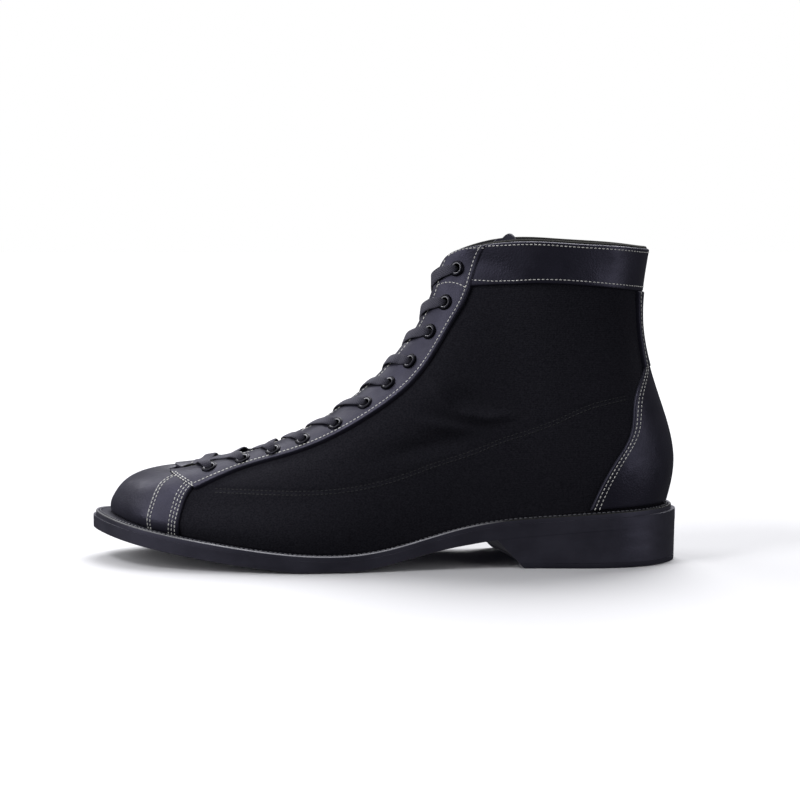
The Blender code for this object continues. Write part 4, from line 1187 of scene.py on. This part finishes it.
def make_lace(rows, frames):
    """A bar over the first pair of eyelets, then a crossing up to each next pair."""
    leather = between(*throat_lines(EYESTAY_EDGES))
    edge_rows = rows[:-1] + np.diff(rows) * np.linspace(*EDGE_SHARES, EYELET_ROWS - 1)
    tuck_rows = rows[:-1] + np.diff(rows) * TUCK_SHARE
    cross_middle, cross_outward = throat_frame((edge_rows + tuck_rows) / 2)
    cross_lifts = np.linspace(*CROSS_LIFTS, EYELET_ROWS - 1)

    def out_of_eyelet(side, row, edge_row):
        """Lace from inside an eyelet over its flange and the leather to the throat's edge."""
        halfway = (rows[row] + edge_row) / 2
        u, v = leather(np.array([halfway, edge_row]), np.array([across_eyestay(rows[row]) / 2, 0.0]))
        rest = skin(side * u, v, LIFTS["eyestay"] + LACE_ON_LEATHER)
        eyelet, direction = frames[side][0][row], frames[side][1][row]
        towards = rest[0] - eyelet
        towards = unit(towards - (towards @ direction) * direction)
        points = [eyelet + towards * reach + direction * lift for reach, lift, _, _ in LACE_RISE]
        tilted = [unit(direction - tilt * towards) for *_, tilt in LACE_RISE]
        widths = [width for _, _, width, _ in LACE_RISE]
        return [*points, *rest], [*tilted, *wall_normal(side * u, v)], [*widths, 1.0, 1.0]

    (middle,), (outward,) = throat_frame(rows[:1])
    outer, outer_normals, outer_widths = out_of_eyelet(1, 0, rows[0])
    inner, inner_normals, inner_widths = out_of_eyelet(-1, 0, rows[0])
    points = [*outer, middle + outward * BAR_LIFT, *inner[::-1]]
    normals = np.array([*outer_normals, outward, *inner_normals[::-1]])
    normals[:, 0] = 0.0  # the bar lies level along the boot
    add_ribbon("lace_bar_look", points, normals, [*outer_widths, 1.0, *inner_widths[::-1]], "lace_bar")

    for row in range(EYELET_ROWS - 1):
        over = 1 if row % 2 else -1
        for name, side in SIDES.items():
            points, normals, widths = out_of_eyelet(side, row + 1, edge_rows[row])
            lift = cross_lifts[row] + side * over * LACE_THICKNESS / 2
            u, v = leather(np.array([tuck_rows[row], rows[row]]), np.array([0.0, TUCK_ACROSS]))
            tucked, tuck_normals = on_skin((-side * u, v), -WALL - TONGUE_GAP / 2)
            points += [cross_middle[row] + cross_outward[row] * lift, *tucked]
            normals += [cross_outward[row], *tuck_normals]
            widths += [1.0, 1.0, TUCK_WIDTH]
            nodes = [f"lace_cross_{row + 1:02d}"] if side > 0 else []
            add_ribbon(f"lace_{name}_{row + 1:02d}_look", points, normals, widths, *nodes)


# Studio

def make_floor():
    mesh = bpy.data.meshes.new("floor")
    corners = [(x * FLOOR_REACH, y * FLOOR_REACH, 0) for x, y in ((-1, -1), (1, -1), (1, 1), (-1, 1))]
    mesh.from_pydata(corners, [], [(0, 1, 2, 3)])
    shader = new_material("floor", FLOOR_NEAR, 0.75, Specular_IOR_Level=0.1)
    away = add_node(shader, "VectorMath", {"operation": "LENGTH"}, Vector=place_on(shader)).outputs["Value"]
    vary(shader, "Base Color", away, FLOOR_NEAR, FLOOR_FAR, FLOOR_SPREAD)
    mesh.materials.append(materials["floor"])
    floor = add_object("floor", mesh)
    floor.visible_diffuse = False
    floor.visible_glossy = False


def make_world():
    """White behind the boot, and a weak cool light from all round."""
    world = bpy.data.worlds.new("studio")
    world.use_nodes = True
    nodes = world.node_tree.nodes
    light = nodes["Background"]
    connect(light, {"Color": (*ROOM_COLOUR, 1), "Strength": ROOM_LIGHT})
    white = add_node(light, "Background", Color=(1, 1, 1, 1))
    seen = add_node(light, "LightPath").outputs["Is Camera Ray"]
    mix = add_node(light, "MixShader")
    connect(mix, {0: seen, 1: light.outputs["Background"], 2: white.outputs["Background"]})
    connect(nodes["World Output"], {"Surface": mix.outputs["Shader"]})
    bpy.context.scene.world = world


def aim(obj, place, target):
    """Puts a light or a camera at a place and turns it to a target."""
    obj.location = place
    obj.rotation_euler = (Vector(target) - Vector(place)).to_track_quat("-Z", "Y").to_euler()


def make_lights():
    data = bpy.data.lights.new("ceiling", "SUN")
    data.energy = CEILING_LIGHT
    data.angle = CEILING_WIDTH
    aim(add_object("ceiling", data), CEILING_FROM, (0, 0, 0))
    for name, place, size, power in PANEL_LIGHTS:
        data = bpy.data.lights.new(name, "AREA")
        data.shape = "RECTANGLE"
        data.size, data.size_y = size
        data.energy = power
        aim(add_object(name, data), place, LIGHT_AIM)


def make_camera():
    data = bpy.data.cameras.new("camera")
    data.sensor_width = CAMERA_SENSOR
    data.lens = CAMERA_LENS
    camera = add_object("camera", data)
    aim(camera, CAMERA_PLACE, CAMERA_AIM)
    bpy.context.scene.camera = camera


def main():
    make_materials()
    rows = np.linspace(*EYELET_SPAN, EYELET_ROWS)
    frames = eyelet_frames(rows)
    make_upper(frames)
    make_overlays(frames)
    make_canvas_stitches()
    make_tongue()
    make_outsole()
    make_welt()
    make_heel()
    make_insole()
    make_eyelets(frames)
    make_lace(rows, frames)
    make_floor()
    bpy.context.scene.view_settings.view_transform = "Standard"
    make_world()
    make_lights()
    make_camera()


main()
